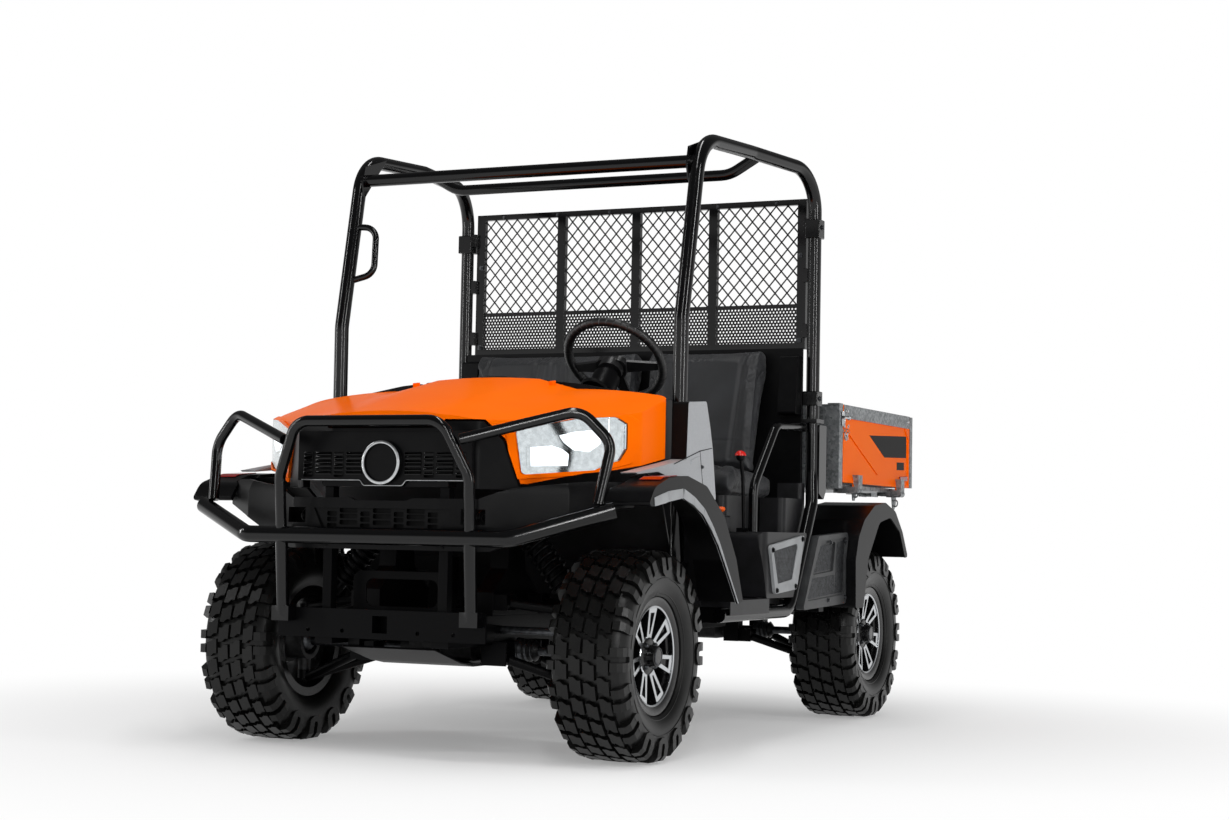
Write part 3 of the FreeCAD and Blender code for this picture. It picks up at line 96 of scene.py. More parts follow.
# %% [markdown]
# ## Colours and nodes
# Colours are written as they look on a screen, as hex values, and one function turns them to the linear values
# that the shaders work in. One more function adds a node with its settings and its links. `make_finish` joins what
# most finishes share: a colour that drifts a little between two shades, and a fine grain.


# %% Helpers for materials
def paint(hex_colour):
    """Linear RGBA of an sRGB hex colour."""
    parts = [int(hex_colour[i:i + 2], 16) / 255 for i in (1, 3, 5)]
    return [c / 12.92 if c <= 0.04045 else ((c + 0.055) / 1.055) ** 2.4 for c in parts] + [1.0]


def add(tree, kind, settings=None, links=None):
    """A new node; settings go to inputs, to properties or, as stops, to a colour ramp, and links go to inputs."""
    node = tree.nodes.new(kind)
    for name, value in (settings or {}).items():
        if name == "stops":
            for stop, (at, colour) in zip(node.color_ramp.elements, value):
                stop.position, stop.color = at, paint(colour)
        elif isinstance(name, int) or name in node.inputs:
            node.inputs[name].default_value = value
        else:
            setattr(node, name, value)
    for name, source in (links or {}).items():
        tree.links.new(source, node.inputs[name])
    return node


def per_mm(size):
    """Texture scale at which a feature is about this many millimetres across."""
    return 1000.0 / size


def fresh_tree(owner):
    """The empty node tree of a material or a world."""
    owner.use_nodes = True
    owner.node_tree.nodes.clear()
    return owner.node_tree


def begin(name, settings):
    """A material with one Principled shader: returns the material, its tree, the shader and Object coordinates."""
    material = bpy.data.materials.new(name)
    tree = fresh_tree(material)
    shader = add(tree, "ShaderNodeBsdfPrincipled", settings)
    output = add(tree, "ShaderNodeOutputMaterial")
    tree.links.new(shader.outputs[0], output.inputs[0])
    place = add(tree, "ShaderNodeTexCoord").outputs["Object"]
    return material, tree, shader, place


def speckle(tree, shader, place, size, colours, detail=3.0):
    """Soft variation between two colours, with patches about size millimetres across."""
    noise = add(tree, "ShaderNodeTexNoise", {"Scale": per_mm(size), "Detail": detail}, {"Vector": place})
    blend = add(tree, "ShaderNodeValToRGB", {"stops": zip((0.35, 0.65), colours)}, {0: noise.outputs[0]})
    tree.links.new(blend.outputs[0], shader.inputs["Base Color"])


def grain(tree, shader, place, size, depth, detail=2.0):
    """Bump from noise: grain about size millimetres across and depth millimetres deep."""
    noise = add(tree, "ShaderNodeTexNoise", {"Scale": per_mm(size), "Detail": detail}, {"Vector": place})
    bump = add(tree, "ShaderNodeBump", {"Distance": depth / 1000, "Strength": 1.0}, {"Height": noise.outputs[0]})
    tree.links.new(bump.outputs[0], shader.inputs["Normal"])


def make_finish(name, settings, size, colours, texture, detail=3.0):
    """Speckle of a size in two colours under a grain; texture holds the grain's size, depth and detail."""
    material, tree, shader, place = begin(name, settings)
    speckle(tree, shader, place, size, colours, detail)
    grain(tree, shader, place, *texture)
    return material


# %% [markdown]
# ## Plastics and paints
# The body panels are injection-moulded: the orange ones are colour-through gloss resin, as smooth as paint, and
# the silver ones have a fine metallic flake. The black and grey ones are textured polypropylene, whose fine
# leather-like grain breaks up every highlight. Grain too fine to show is drawn twice as coarse.


# %% Moulded panels
def make_plastic(name, colours, roughness, level):
    return make_finish(name, {"Roughness": roughness, "IOR": 1.49, "Specular IOR Level": level}, 60, colours,
                       (2.2, 0.10))


orange_resin = make_finish("orange_gloss_resin", {"Roughness": 0.26, "IOR": 1.5, "Specular IOR Level": 0.015}, 400,
                           ("#FF6A00", "#FF6F04"), (6.0, 0.012, 1.0))
silver_resin = make_finish("silver_metallic_resin", {"Metallic": 0.35, "Roughness": 0.46, "Specular IOR Level": 0.3},
                           2.5, ("#9C9EA1", "#B4B6B9"), (3.0, 0.02), 4.0)
black_plastic = make_plastic("black_polypropylene", ("#060607", "#0A0A0B"), 0.34, 0.12)
soft_black = make_plastic("black_grained_abs", ("#060607", "#090909"), 0.50, 0.10)
grey_plastic = make_plastic("grey_polypropylene", ("#161617", "#1D1D1F"), 0.36, 0.20)
# painted highlight: the rear side panels are black plastic like the pods, and this lighter grey stands in for the
# light they catch
highlit_black_plastic = make_plastic("black_polypropylene_painted_highlight", ("#2E2F30", "#3A3B3C"), 0.40, 0.25)
light_plastic = make_plastic("light_grey_polypropylene", ("#8C8E90", "#9A9C9E"), 0.48, 0.40)
print("plastics:", orange_resin.name, silver_resin.name, black_plastic.name)

# %% [markdown]
# ## Powder coat, steel and zinc
# Powder coat melts into a skin with a faint orange peel, so its highlights wobble a little. Hot-dip zinc grows
# crystals, the spangle, which a Voronoi pattern gives, each flake a slightly different grey and gloss.


# %% Metals
def make_powder_coat(name, colour, roughness, level):
    return make_finish(name, {"Roughness": roughness, "IOR": 1.5, "Specular IOR Level": level}, 120,
                       (colour, colour), (5.0, 0.05, 1.0))


def make_steel(name, colours, roughness, metallic=1.0):
    return make_finish(name, {"Metallic": metallic, "Roughness": roughness}, 14, colours, (1.6, 0.03))


def make_galvanised():
    """Zinc crystals: each one has its own grey, and its gloss fades towards the edge."""
    material, tree, shader, place = begin("hot_dip_zinc", {"Metallic": 0.85, "Roughness": 0.45})
    cells = add(tree, "ShaderNodeTexVoronoi", {"Scale": per_mm(9)}, {"Vector": place})
    tone = add(tree, "ShaderNodeValToRGB", {"stops": [(0.1, "#6E7173"), (0.9, "#A3A6A8")]},
               {0: cells.outputs["Color"]})
    tree.links.new(tone.outputs[0], shader.inputs["Base Color"])
    wear = add(tree, "ShaderNodeMapRange", {"To Min": 0.36, "To Max": 0.58}, {0: cells.outputs["Distance"]})
    tree.links.new(wear.outputs[0], shader.inputs["Roughness"])
    grain(tree, shader, place, 4.0, 0.04)
    return material


cage_coat = make_powder_coat("satin_black_powder_coat", "#040405", 0.13, 0.36)
guard_coat = make_powder_coat("gloss_black_powder_coat", "#040405", 0.13, 0.36)
chassis_coat = make_powder_coat("matt_black_chassis_paint", "#050506", 0.40, 0.08)
zinc = make_galvanised()
cast_metal = make_steel("painted_cast_iron", ("#1B1B1C", "#2A2A2B"), 0.55, 0.4)
bright_steel = make_steel("zinc_plated_steel", ("#B6B8BA", "#CFD1D2"), 0.28)
dark_steel = make_steel("oiled_steel", ("#3C3D3F", "#55575A"), 0.38, 0.9)
print("metals:", cage_coat.name, zinc.name, bright_steel.name)

# %% [markdown]
# ## Rubber, vinyl, glass and lamps
# Tyre rubber is never quite black: it scatters light and holds dust in its grooves. Seat vinyl has a pressed
# leather grain. The lamp's cover is clear polycarbonate, and behind it sit vacuum-coated reflectors.


# %% Soft and clear finishes
def make_vinyl():
    material, tree, shader, place = begin("charcoal_vinyl", {"Roughness": 0.46, "Specular IOR Level": 0.4,
                                                             "Sheen Weight": 0.08})
    speckle(tree, shader, place, 90, ("#1A1B1D", "#232427"))
    cells = add(tree, "ShaderNodeTexVoronoi", {"Scale": per_mm(3.2), "feature": "DISTANCE_TO_EDGE"},
                {"Vector": place})
    crease = add(tree, "ShaderNodeMapRange", {"From Max": 0.12}, {0: cells.outputs["Distance"]})
    bump = add(tree, "ShaderNodeBump", {"Distance": 0.0003, "Strength": 0.6}, {"Height": crease.outputs[0]})
    tree.links.new(bump.outputs[0], shader.inputs["Normal"])
    return material


def make_grained(name, settings, *texture):
    """A finish of one plain colour with a grain."""
    material, tree, shader, place = begin(name, settings)
    grain(tree, shader, place, *texture)
    return material


def make_plain_gloss(name, colour, roughness):
    return make_finish(name, {"Roughness": roughness}, 30, (colour, colour), (3.0, 0.04))


tyre_rubber = make_finish("tyre_rubber", {"Roughness": 0.34, "Specular IOR Level": 0.28}, 55,
                          ("#080808", "#0E0E0D"), (2.0, 0.12, 4.0), 6.0)
grip_rubber = make_plastic("moulded_grip_rubber", ("#0E0E0F", "#141415"), 0.38, 0.5)
dark_vinyl = make_vinyl()
clear_lens = make_grained("clear_polycarbonate", {"Base Color": paint("#F4F7F8"), "Roughness": 0.02, "IOR": 1.45,
                                                  "Transmission Weight": 1.0}, 30, 0.02, 1.0)
reflector = make_steel("vacuum_coated_reflector", ("#DDE0E2", "#F2F4F5"), 0.12)
lamp_glow = make_grained("led_light", {"Base Color": paint("#F6FAFF"), "Roughness": 0.3,
                                       "Emission Color": paint("#F6FAFF"), "Emission Strength": 1.6}, 4.0, 0.05)
red_plastic = make_plain_gloss("red_resin", "#C61A12", 0.25)
orange_knob = make_plain_gloss("orange_resin", "#E2570C", 0.3)
red_lens = make_plain_gloss("red_reflector", "#8E0F0C", 0.12)
print("soft and clear:", tyre_rubber.name, dark_vinyl.name, clear_lens.name)

# %% [markdown]
# ## Studio
# The floor is a wide pale sheet, and the world behind it is white to the lens, to gloss and through glass, while
# it lights the vehicle at a plain level. Four narrow strip lights draw the long highlights on tubes and mouldings.


# %% Floor, world and lights
def make_floor():
    bm = bmesh.new()
    bmesh.ops.create_grid(bm, x_segments=1, y_segments=1, size=60)
    floor = add_object("floor", to_mesh("floor", bm))
    floor.location.z = -0.0005
    material = bpy.data.materials.new("pale_floor")
    tree = fresh_tree(material)
    matt = add(tree, "ShaderNodeBsdfDiffuse", {"Color": paint("#F2F2F2")})
    white = add(tree, "ShaderNodeEmission", {"Color": paint("#FFFFFF"), "Strength": 1.0})
    place = add(tree, "ShaderNodeTexCoord").outputs["Object"]
    reach = add(tree, "ShaderNodeVectorMath", {"operation": "LENGTH"}, {0: place})
    fade = add(tree, "ShaderNodeMapRange", {"interpolation_type": "SMOOTHSTEP", "From Min": 0.8, "From Max": 3.4,
                                            "To Min": 0.26, "To Max": 1.0}, {0: reach.outputs["Value"]})
    rays = add(tree, "ShaderNodeLightPath").outputs
    seen = add(tree, "ShaderNodeMath", {"operation": "MAXIMUM"}, {0: rays["Is Camera Ray"], 1: rays["Is Glossy Ray"]})
    share = add(tree, "ShaderNodeMath", {"operation": "MULTIPLY"}, {0: seen.outputs[0], 1: fade.outputs[0]})
    mixed = add(tree, "ShaderNodeMixShader", links={0: share.outputs[0], 1: matt.outputs[0], 2: white.outputs[0]})
    add(tree, "ShaderNodeOutputMaterial", links={"Surface": mixed.outputs[0]})
    floor.data.materials.append(material)


def make_world():
    world = bpy.data.worlds.new("studio")
    bpy.context.scene.world = world
    tree = fresh_tree(world)
    rays = add(tree, "ShaderNodeLightPath").outputs
    sharp = add(tree, "ShaderNodeMath", {"operation": "MAXIMUM"},
                {0: rays["Is Camera Ray"], 1: rays["Is Transmission Ray"]})
    seen = add(tree, "ShaderNodeMath", {"operation": "MAXIMUM"}, {0: sharp.outputs[0], 1: rays["Is Glossy Ray"]})
    strength = add(tree, "ShaderNodeMapRange", {"To Min": 0.42, "To Max": 1.0}, {0: seen.outputs[0]})
    # the studio's ceiling is dark: gloss sees the white backdrop up to a little above the horizon, then the lamps
    up = add(tree, "ShaderNodeSeparateXYZ", links={0: add(tree, "ShaderNodeTexCoord").outputs["Generated"]})
    ceiling = add(tree, "ShaderNodeMapRange", {"From Min": 0.04, "From Max": 0.30, "To Min": 1.0, "To Max": 0.12},
                  {0: up.outputs["Z"]})
    shade = add(tree, "ShaderNodeMix", {"data_type": "FLOAT", 2: 1.0},
                {0: rays["Is Glossy Ray"], 3: ceiling.outputs[0]})
    level = add(tree, "ShaderNodeMath", {"operation": "MULTIPLY"}, {0: strength.outputs[0], 1: shade.outputs[0]})
    sky = add(tree, "ShaderNodeBackground", {"Color": paint("#FFFFFF")}, {"Strength": level.outputs[0]})
    add(tree, "ShaderNodeOutputWorld", links={"Surface": sky.outputs[0]})


def make_strip(name, place, target, width, length, power):
    """A narrow area light that points at a target."""
    lamp = bpy.data.lights.new(name, "AREA")
    lamp.shape, lamp.size, lamp.size_y, lamp.energy = "RECTANGLE", width, length, power
    strip = add_object(name, lamp)
    strip.location = place
    strip.rotation_mode = "QUATERNION"
    strip.rotation_quaternion = (Vector(target) - Vector(place)).to_track_quat("-Z", "Y")


make_floor()
make_world()
make_strip("overhead_strip", (0.6, -1.2, 4.4), (0, 0, 0.6), 0.35, 4.5, 62)
make_strip("left_strip", (4.6, -1.6, 2.4), (0, -0.2, 0.8), 0.2, 3.2, 74)
make_strip("front_left_strip", (2.6, -5.2, 2.6), (0, -0.6, 0.8), 0.18, 2.6, 52)
make_strip("right_strip", (-4.2, -3.0, 2.2), (0, -0.4, 0.8), 0.2, 3.2, 60)
bpy.context.scene.view_settings.view_transform = "Standard"


# %% [markdown]
# ## Finishes of the construction
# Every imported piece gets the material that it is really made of. Its edges get the small radius that pressing,
# moulding or grinding leaves, because an edge without one never catches the light.

# %% Finishes
finishes = {
    "chassis_paint": chassis_coat, "cage_paint": cage_coat, "guard_paint": guard_coat,
    "moulded_black": black_plastic, "moulded_grey": grey_plastic, "grille_grey": grey_plastic,
    "orange_panel": orange_resin, "silver_panel": silver_resin, "lamp_lens": clear_lens,
    "cast_metal": cast_metal, "axle_steel": dark_steel, "shock_body": chassis_coat,
    "bright_rod": bright_steel, "tyre_rubber": tyre_rubber, "wheel_alloy": cast_metal,
    "grip_rubber": grip_rubber, "seat_vinyl": dark_vinyl, "screen_wire": cage_coat,
    "bed_zinc": zinc, "bed_orange": orange_resin}
edge_radius = {"hood": 3.0, "front_fascia": 3.0, "front_fenders": 2.5, "rear_fenders": 2.5, "dash": 4.0,
               "side_pods": 6.0, "seat_base": 6.0, "cowl_sides": 1.8, "rear_side_panels": 1.2}
cut_flat = {"guard_plate"}  # laser-cut plate keeps its sharp edges


def soften(obj, radius, angle):
    """Rounds the edges sharper than an angle in degrees, and evens out the shading beside them."""
    edges = obj.modifiers.new("edges", "BEVEL")
    edges.width, edges.segments = radius / 1000, 2
    edges.limit_method, edges.angle_limit = "ANGLE", math.radians(angle)
    obj.modifiers.new("even_shading", "WEIGHTED_NORMAL").keep_sharp = True


def dress(name, node, slot):
    """The slot's finish, and rounded edges with even shading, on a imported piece."""
    node.data.materials.clear()
    node.data.materials.append(finishes[slot])
    for polygon in node.data.polygons:
        polygon.use_smooth = name not in cut_flat
    node.modifiers.new("weld", "WELD").merge_threshold = 0.00005
    if name not in cut_flat:
        soften(node, edge_radius.get(name, 1.2), 38)


for part in frame["record"]["subparts"]:
    if part["node"] in nodes:
        dress(part["node"], nodes[part["node"]], part["material_slot"])

# %% [markdown]
# ## Tools for new pieces
# Real parts are cut from plate, turned, bent from tube or moulded, so there is one small helper for each way of
# making. They work in millimetres, as a drawing does, and `piece` turns the result into metres at the end, merges
# doubled points, points every face outwards and lets the piece ride on the body that carries it. Trim that has to
# follow a curved panel is cut from a copy of the panel's own skin.


# %% Helpers for pieces
def box_mm(name):
    """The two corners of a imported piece's box."""
    return [Vector(corner) * 1000 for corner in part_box(name)]


def block(bm, corner, opposite):
    """A box between two corners."""
    spans = [sorted(pair) for pair in zip(corner, opposite)]
    middle = [(low + high) / 2 for low, high in spans]
    size = [high - low for low, high in spans] + [1]
    bmesh.ops.create_cube(bm, size=1, matrix=Matrix.Translation(middle) @ Matrix.Diagonal(size))


def drum(bm, start, end, radius, end_radius=None, sides=32):
    """A turned bar or cone from one point to another."""
    start, end = Vector(start), Vector(end)
    place = Matrix.Translation((start + end) / 2) @ (end - start).to_track_quat("Z", "Y").to_matrix().to_4x4()
    bmesh.ops.create_cone(bm, cap_ends=True, segments=sides, radius1=radius,
                          radius2=radius if end_radius is None else end_radius,
                          depth=(end - start).length, matrix=place)


def prism(bm, outline, axis, start, end):
    """A flat outline swept along x, y or z; its points hold the other two coordinates. Returns its corners."""
    def at(point, along):
        values = list(point)
        values.insert("xyz".index(axis), along)
        return Vector(values)

    low, high = sorted((start, end))
    face = bm.faces.new([bm.verts.new(at(point, low)) for point in outline])
    swept = bmesh.ops.extrude_face_region(bm, geom=[face])["geom"]
    moved = [v for v in swept if isinstance(v, bmesh.types.BMVert)]
    bmesh.ops.translate(bm, verts=moved, vec=at((0, 0), high - low))
    return list(face.verts) + moved


def turned(bm, profile, centre, steps=64):
    """Points of (radius, x) turned a full circle about the X axis through centre."""
    verts = [bm.verts.new(Vector(centre) + Vector((x, 0, radius))) for radius, x in profile]
    edges = [bm.edges.new(pair) for pair in zip(verts, verts[1:])]
    bmesh.ops.spin(bm, geom=verts + edges, cent=centre, axis=(1, 0, 0), angle=math.tau, steps=steps, use_merge=True)


def pipe(bm, path, radius, sides=12):
    """A round bar along a path: a ring at each point, bridged to the next and capped at the ends."""
    path = [Vector(p) for p in path]
    spin, last, rings = None, None, []
    for i, point in enumerate(path):
        ahead = (path[min(i + 1, len(path) - 1)] - path[max(i - 1, 0)]).normalized()
        spin = ahead.to_track_quat("Z", "Y") if spin is None else last.rotation_difference(ahead) @ spin
        last = ahead
        ring = bmesh.ops.create_circle(bm, cap_ends=i in (0, len(path) - 1), segments=sides, radius=radius,
                                       matrix=Matrix.Translation(point) @ spin.to_matrix().to_4x4())["verts"]
        rings.append({e for v in ring for e in v.link_edges})
    for near, far in zip(rings, rings[1:]):
        bmesh.ops.bridge_loops(bm, edges=list(near | far))


def bend(points, radius, steps=6):
    """The same path with its corners rounded."""
    points = [Vector(p) for p in points]
    path = [points[0]]
    for before, corner, after in zip(points, points[1:], points[2:]):
        near, far = before - corner, after - corner
        cut = min(radius, near.length * 0.48, far.length * 0.48)
        a, b = corner + near.normalized() * cut, corner + far.normalized() * cut
        path += [a.lerp(corner, t).lerp(corner.lerp(b, t), t) for t in (i / steps for i in range(steps + 1))]
    return path + [points[-1]]


def mirrored(bm):
    """The same shapes again on the other side of the vehicle."""
    bmesh.ops.mirror(bm, geom=bm.verts[:] + bm.edges[:] + bm.faces[:], axis="X", merge_dist=0.001)


def put(bm, place=(0, 0, 0), turns=(), verts=None):
    """Moves shapes to a place, after turns about the origin: degrees and axis, the last pair first."""
    matrix = Matrix.Translation(place)
    for degrees, axis in turns:
        matrix = matrix @ Matrix.Rotation(math.radians(degrees), 4, axis)
    bmesh.ops.transform(bm, verts=verts or bm.verts, matrix=matrix)


def merge(target, source):
    """Moves one bmesh's shapes into another."""
    mesh = to_mesh("part", source)
    target.from_mesh(mesh)
    bpy.data.meshes.remove(mesh)


def loop(points):
    """The pairs of neighbours round a closed line."""
    return list(zip(points, points[1:] + points[:1]))


def trim(bm, outline, axis="y"):
    """Cuts away what lies outside an outline, seen along an axis."""
    for a, b in loop(outline):
        at, away = [a[0], a[1]], [b[1] - a[1], a[0] - b[0]]
        for values in (at, away):
            values.insert("xyz".index(axis), 0)
        bmesh.ops.bisect_plane(bm, geom=bm.verts[:] + bm.edges[:] + bm.faces[:], dist=0.001, plane_co=at,
                               plane_no=away, clear_outer=True)


def skin_of(node, keep, lift, depth, outline=None, axis="x"):
    """A lifted, thickened copy of a node's faces: keep() judges normal and middle, the outline cuts the rest."""
    bm = bmesh.new()
    bm.from_mesh(nodes[node].data)
    bmesh.ops.scale(bm, verts=bm.verts, vec=(1000, 1000, 1000))
    bmesh.ops.remove_doubles(bm, verts=bm.verts, dist=0.05)
    away = [f for f in bm.faces if not keep(f.normal, f.calc_center_median())]
    bmesh.ops.delete(bm, geom=away, context="FACES")
    if outline:
        trim(bm, outline, axis)
    for v in bm.verts:
        v.co += v.normal * lift
    bmesh.ops.solidify(bm, geom=bm.faces[:], thickness=-depth)
    return bm


def piece(name, bm, material, body="chassis", rounding=0.0, sharp=35):
    """A finished object from shapes in millimetres."""
    bmesh.ops.remove_doubles(bm, verts=bm.verts, dist=0.01)
    bmesh.ops.recalc_face_normals(bm, faces=bm.faces)
    bmesh.ops.scale(bm, verts=bm.verts, vec=(0.001, 0.001, 0.001))
    mesh = to_mesh(name, bm)
    for polygon in mesh.polygons:
        polygon.use_smooth = True
    mesh.set_sharp_from_angle(angle=math.radians(sharp))
    mesh.materials.append(material)
    obj = add_object(name, mesh)
    if rounding:
        soften(obj, rounding, sharp)
    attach(obj, body)
    return obj


def bolts(bm, places, direction, size=7.0, washer=9.0):
    """Flange bolts: a hexagon head on a washer at each place, standing along direction."""
    step = Vector(direction).normalized()
    for place in places:
        place = Vector(place)
        drum(bm, place - step * 2, place + step * 2, washer, sides=20)
        drum(bm, place + step * 2, place + step * 6.5, size, size * 0.92, sides=6)


print("helpers ready")

# %% [markdown]
# ## Tyres
# A mud tyre is a smooth carcass with blocks that stand proud: four rows of stepped blocks in the middle, and
# lugs that wrap over each shoulder and join in a U on the sidewall. The carcass is one profile spun about the
# axle. One pitch of the tread is modelled, then repeated 16 times around, as the mould's segments do.

# %% Tyres
hands = ((1, "left"), (-1, "right"))  # the sign of x on each side, and the side's name
tread_pitches = 16
crown_radius, block_foot, bend_radius = 319.2, 292, 318
carcass = [(157, -82), (178, -83), (180, -99), (196, -110), (222, -118), (250, -120.5), (274, -117), (290, -108),
           (299, -92), (303, -60), (304.5, -25), (304.5, 0)]
carcass = carcass + [(radius, -x) for radius, x in reversed(carcass[:-1])] + [carcass[0]]
stepped_block = [(-18, -17), (-7, -17), (4, -27), (18, -27), (18, 17), (7, 17), (-4, 27), (-18, 27)]


def tread_pitch(bm):
    """Blocks and lugs of one pitch, at the top of the tyre."""
    for row, x in enumerate((-67, -22.5, 22.5, 67)):
        top = crown_radius - (3 if abs(x) > 40 else 0.9)
        for shift in (-32, 31):
            y = shift + (16 if row % 2 else 0)
            made = prism(bm, [(x + a, b) for a, b in stepped_block], "z", block_foot, top)
            put(bm, turns=[(math.degrees(-y / bend_radius), "X")], verts=made)
    for side in (1, -1):
        for y, foot in ((-19, 268), (25, 262)):
            lug = [(90, block_foot), (90, 315.5), (111, 311), (123, 296), (126.8, foot), (115, foot), (98, 284)]
            prism(bm, [(side * x, z) for x, z in lug], "y", y - 13, y + 13)
        arch = [(-32, 272), (-27, 252), (-9, 240), (15, 240), (33, 250), (38, 268), (14, 268), (10, 258), (-4, 258),
                (-7, 272)]
        prism(bm, arch, "x", side * 114, side * 126.9)


def make_tyre(name, side):
    bm = bmesh.new()
    turned(bm, carcass, (0, 0, 0), 96)
    tread = bmesh.new()
    tread_pitch(tread)
    mesh = to_mesh("pitch", tread)
    for i in range(tread_pitches):
        mesh.transform(Matrix.Rotation(math.tau / tread_pitches, 4, "X"))
        bm.from_mesh(mesh)
    bpy.data.meshes.remove(mesh)
    # moulded rings where the sidewall meets the rim
    for radius, x in ((188, 105), (232, 119.4)):
        turned(bm, [(radius, x - 2), (radius + 1, x + 1.6), (radius + 4, x + 1.6), (radius + 6, x - 1)],
               (0, 0, 0), 96)
    bmesh.ops.scale(bm, verts=bm.verts, vec=(side, 1, 1))
    low, high = box_mm(name)
    put(bm, (low + high) / 2)
    tyre = piece(name.replace("tyre", "mud_tyre"), bm, tyre_rubber, "road_wheel" + name[4:], 0, 30)
    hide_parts(name)
    return tyre


for front in ("front", "rear"):
    for side, word in hands:
        tyre = make_tyre(f"tyre_{front}_{word}", side)
print("tyres:", tread_pitches, "pitches,", len(tyre.data.polygons), "faces each")

# %% [markdown]
# ## Wheels
# The rims are cast, sprayed gloss black and then turned on a lathe, so that only the faces that stand out become
# bright metal: the two edges of each forked spoke. The lip stays black. The finish follows the same cut. It is
# bright where a point lies within 3 mm of the cone that the lathe's tool runs along. Nuts, the cap's ring and a
# valve are turned pieces.

# %% Wheels
wheel_half_track, axle_height = 612.5, 320


def make_cut_alloy(name, side, y):
    """Black paint, and bright metal on the turned faces; side and y say where the wheel is."""
    material, tree, shader, place = begin(name, {"Roughness": 0.22})
    around = add(tree, "ShaderNodeMapping", {"Location": (0, -y, -axle_height / 1000), "Scale": (0, 1, 1)},
                 {"Vector": place}).outputs[0]
    reach = add(tree, "ShaderNodeVectorMath", {"operation": "LENGTH"}, {0: around}).outputs["Value"]
    across = add(tree, "ShaderNodeSeparateXYZ", links={0: place}).outputs["X"]
    stand = add(tree, "ShaderNodeMath", {"operation": "MULTIPLY_ADD", 1: side, 2: -wheel_half_track / 1000},
                {0: across})
    cone = add(tree, "ShaderNodeMapRange", {"From Min": 0.046, "From Max": 0.150, "To Min": 0.0665,
                                            "To Max": 0.0825}, {0: reach})
    above = add(tree, "ShaderNodeMath", {"operation": "GREATER_THAN"}, {0: stand.outputs[0], 1: cone.outputs[0]})
    outside = add(tree, "ShaderNodeMath", {"operation": "GREATER_THAN", 1: 0.056}, {0: reach})
    inside = add(tree, "ShaderNodeMath", {"operation": "LESS_THAN", 1: 0.151}, {0: reach})
    face = add(tree, "ShaderNodeMath", {"operation": "MULTIPLY"}, {0: outside.outputs[0], 1: inside.outputs[0]})
    cut = add(tree, "ShaderNodeMath", {"operation": "MULTIPLY"}, {0: above.outputs[0], 1: face.outputs[0]}).outputs[0]
    rings = add(tree, "ShaderNodeTexWave", {"wave_type": "RINGS", "rings_direction": "X", "Scale": 120.0,
                                            "Distortion": 0.3}, {"Vector": around})
    metal = add(tree, "ShaderNodeValToRGB", {"stops": [(0.0, "#A9ACAF"), (1.0, "#D9DBDD")]}, {0: rings.outputs[0]})
    colour = add(tree, "ShaderNodeMix", {"data_type": "RGBA", 6: paint("#0B0B0C")}, {0: cut, 7: metal.outputs[0]})
    tree.links.new(colour.outputs[2], shader.inputs["Base Color"])
    tree.links.new(cut, shader.inputs["Metallic"])
    return material


def wheel_trim(name, side, y):
    """Nuts, the cap's ring and a valve on one wheel."""
    face = 70.0
    bm = bmesh.new()
    for i in range(4):
        angle = math.radians(90 * i + 45)
        u, w = 45 * math.cos(angle), 45 * math.sin(angle)
        drum(bm, (face - 8, u, w), (face + 12, u, w), 8.2, 7.6, sides=6)
        drum(bm, (face + 12, u, w), (face + 15, u, w), 6.5, 4.0, sides=12)
    turned(bm, [(26, 102), (28.5, 103.5), (26.5, 105), (23, 105.4), (22.4, 104)], (0, 0, 0), 48)
    drum(bm, (64, 0, 128), (76, 0, 126), 4, sides=12)
    bmesh.ops.transform(bm, verts=bm.verts, matrix=Matrix.Translation(
        (side * wheel_half_track, y * 1000, axle_height)) @ Matrix.Diagonal((side, 1, 1, 1)))
    piece("nuts" + name[5:], bm, dark_steel, "road_wheel" + name[5:], 0.6)


for side, word in hands:
    for front in ("front", "rear"):
        name = f"wheel_{front}_{word}"
        low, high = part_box(name)
        y = (low[1] + high[1]) / 2
        nodes[name].data.materials[0] = make_cut_alloy("turned_alloy_" + name, side, y)
        wheel_trim(name, side, y)
print("wheels: turned faces, nuts and caps")

# %% [markdown]
# ## Springs and boots
# Each shock carries a coil spring between two seats. A spring is a ring of wire spun and lifted at the same time,
# which makes a helix. The drive shafts have pleated rubber boots at their inner joints, turned from one zigzag
# profile.

# %% Springs and boots
def spring(bm, low, high, coil, wire, turns):
    """A helix of wire between two points."""
    low, high = Vector(low), Vector(high)
    made = bmesh.ops.create_circle(bm, cap_ends=True, segments=8, radius=wire, matrix=Matrix.Translation(
        (coil, 0, 0)) @ Matrix.Rotation(math.pi / 2, 4, "X"))["verts"]
    steps = turns * 20
    rise = (high - low).length
    geom = made + list({e for v in made for e in v.link_edges}) + list({f for v in made for f in v.link_faces})
    before = set(bm.verts) - set(made)
    bmesh.ops.spin(bm, geom=geom, cent=(0, 0, 0), axis=(0, 0, 1), dvec=(0, 0, rise / steps),
                   angle=math.tau * turns, steps=steps, use_merge=False)
    new = [v for v in bm.verts if v not in before]
    place = Matrix.Translation(low) @ (high - low).to_track_quat("Z", "Y").to_matrix().to_4x4()
    bmesh.ops.transform(bm, verts=new, matrix=place)
    seat = (high - low).normalized() * 3
    for end in (low, high):
        drum(bm, end - seat, end + seat, coil + wire + 2)


axle_ys = [(low[1] + high[1]) * 500 for low, high in (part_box("wheel_front_left"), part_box("wheel_rear_left"))]
bm = bmesh.new()
for y in axle_ys:
    foot, head = Vector((430, y, 482)), Vector((262, y, 690))
    spring(bm, foot.lerp(head, 0.22), foot.lerp(head, 0.84), 38, 5.5, 7)
mirrored(bm)
springs = piece("coil_springs", bm, chassis_coat, "chassis")

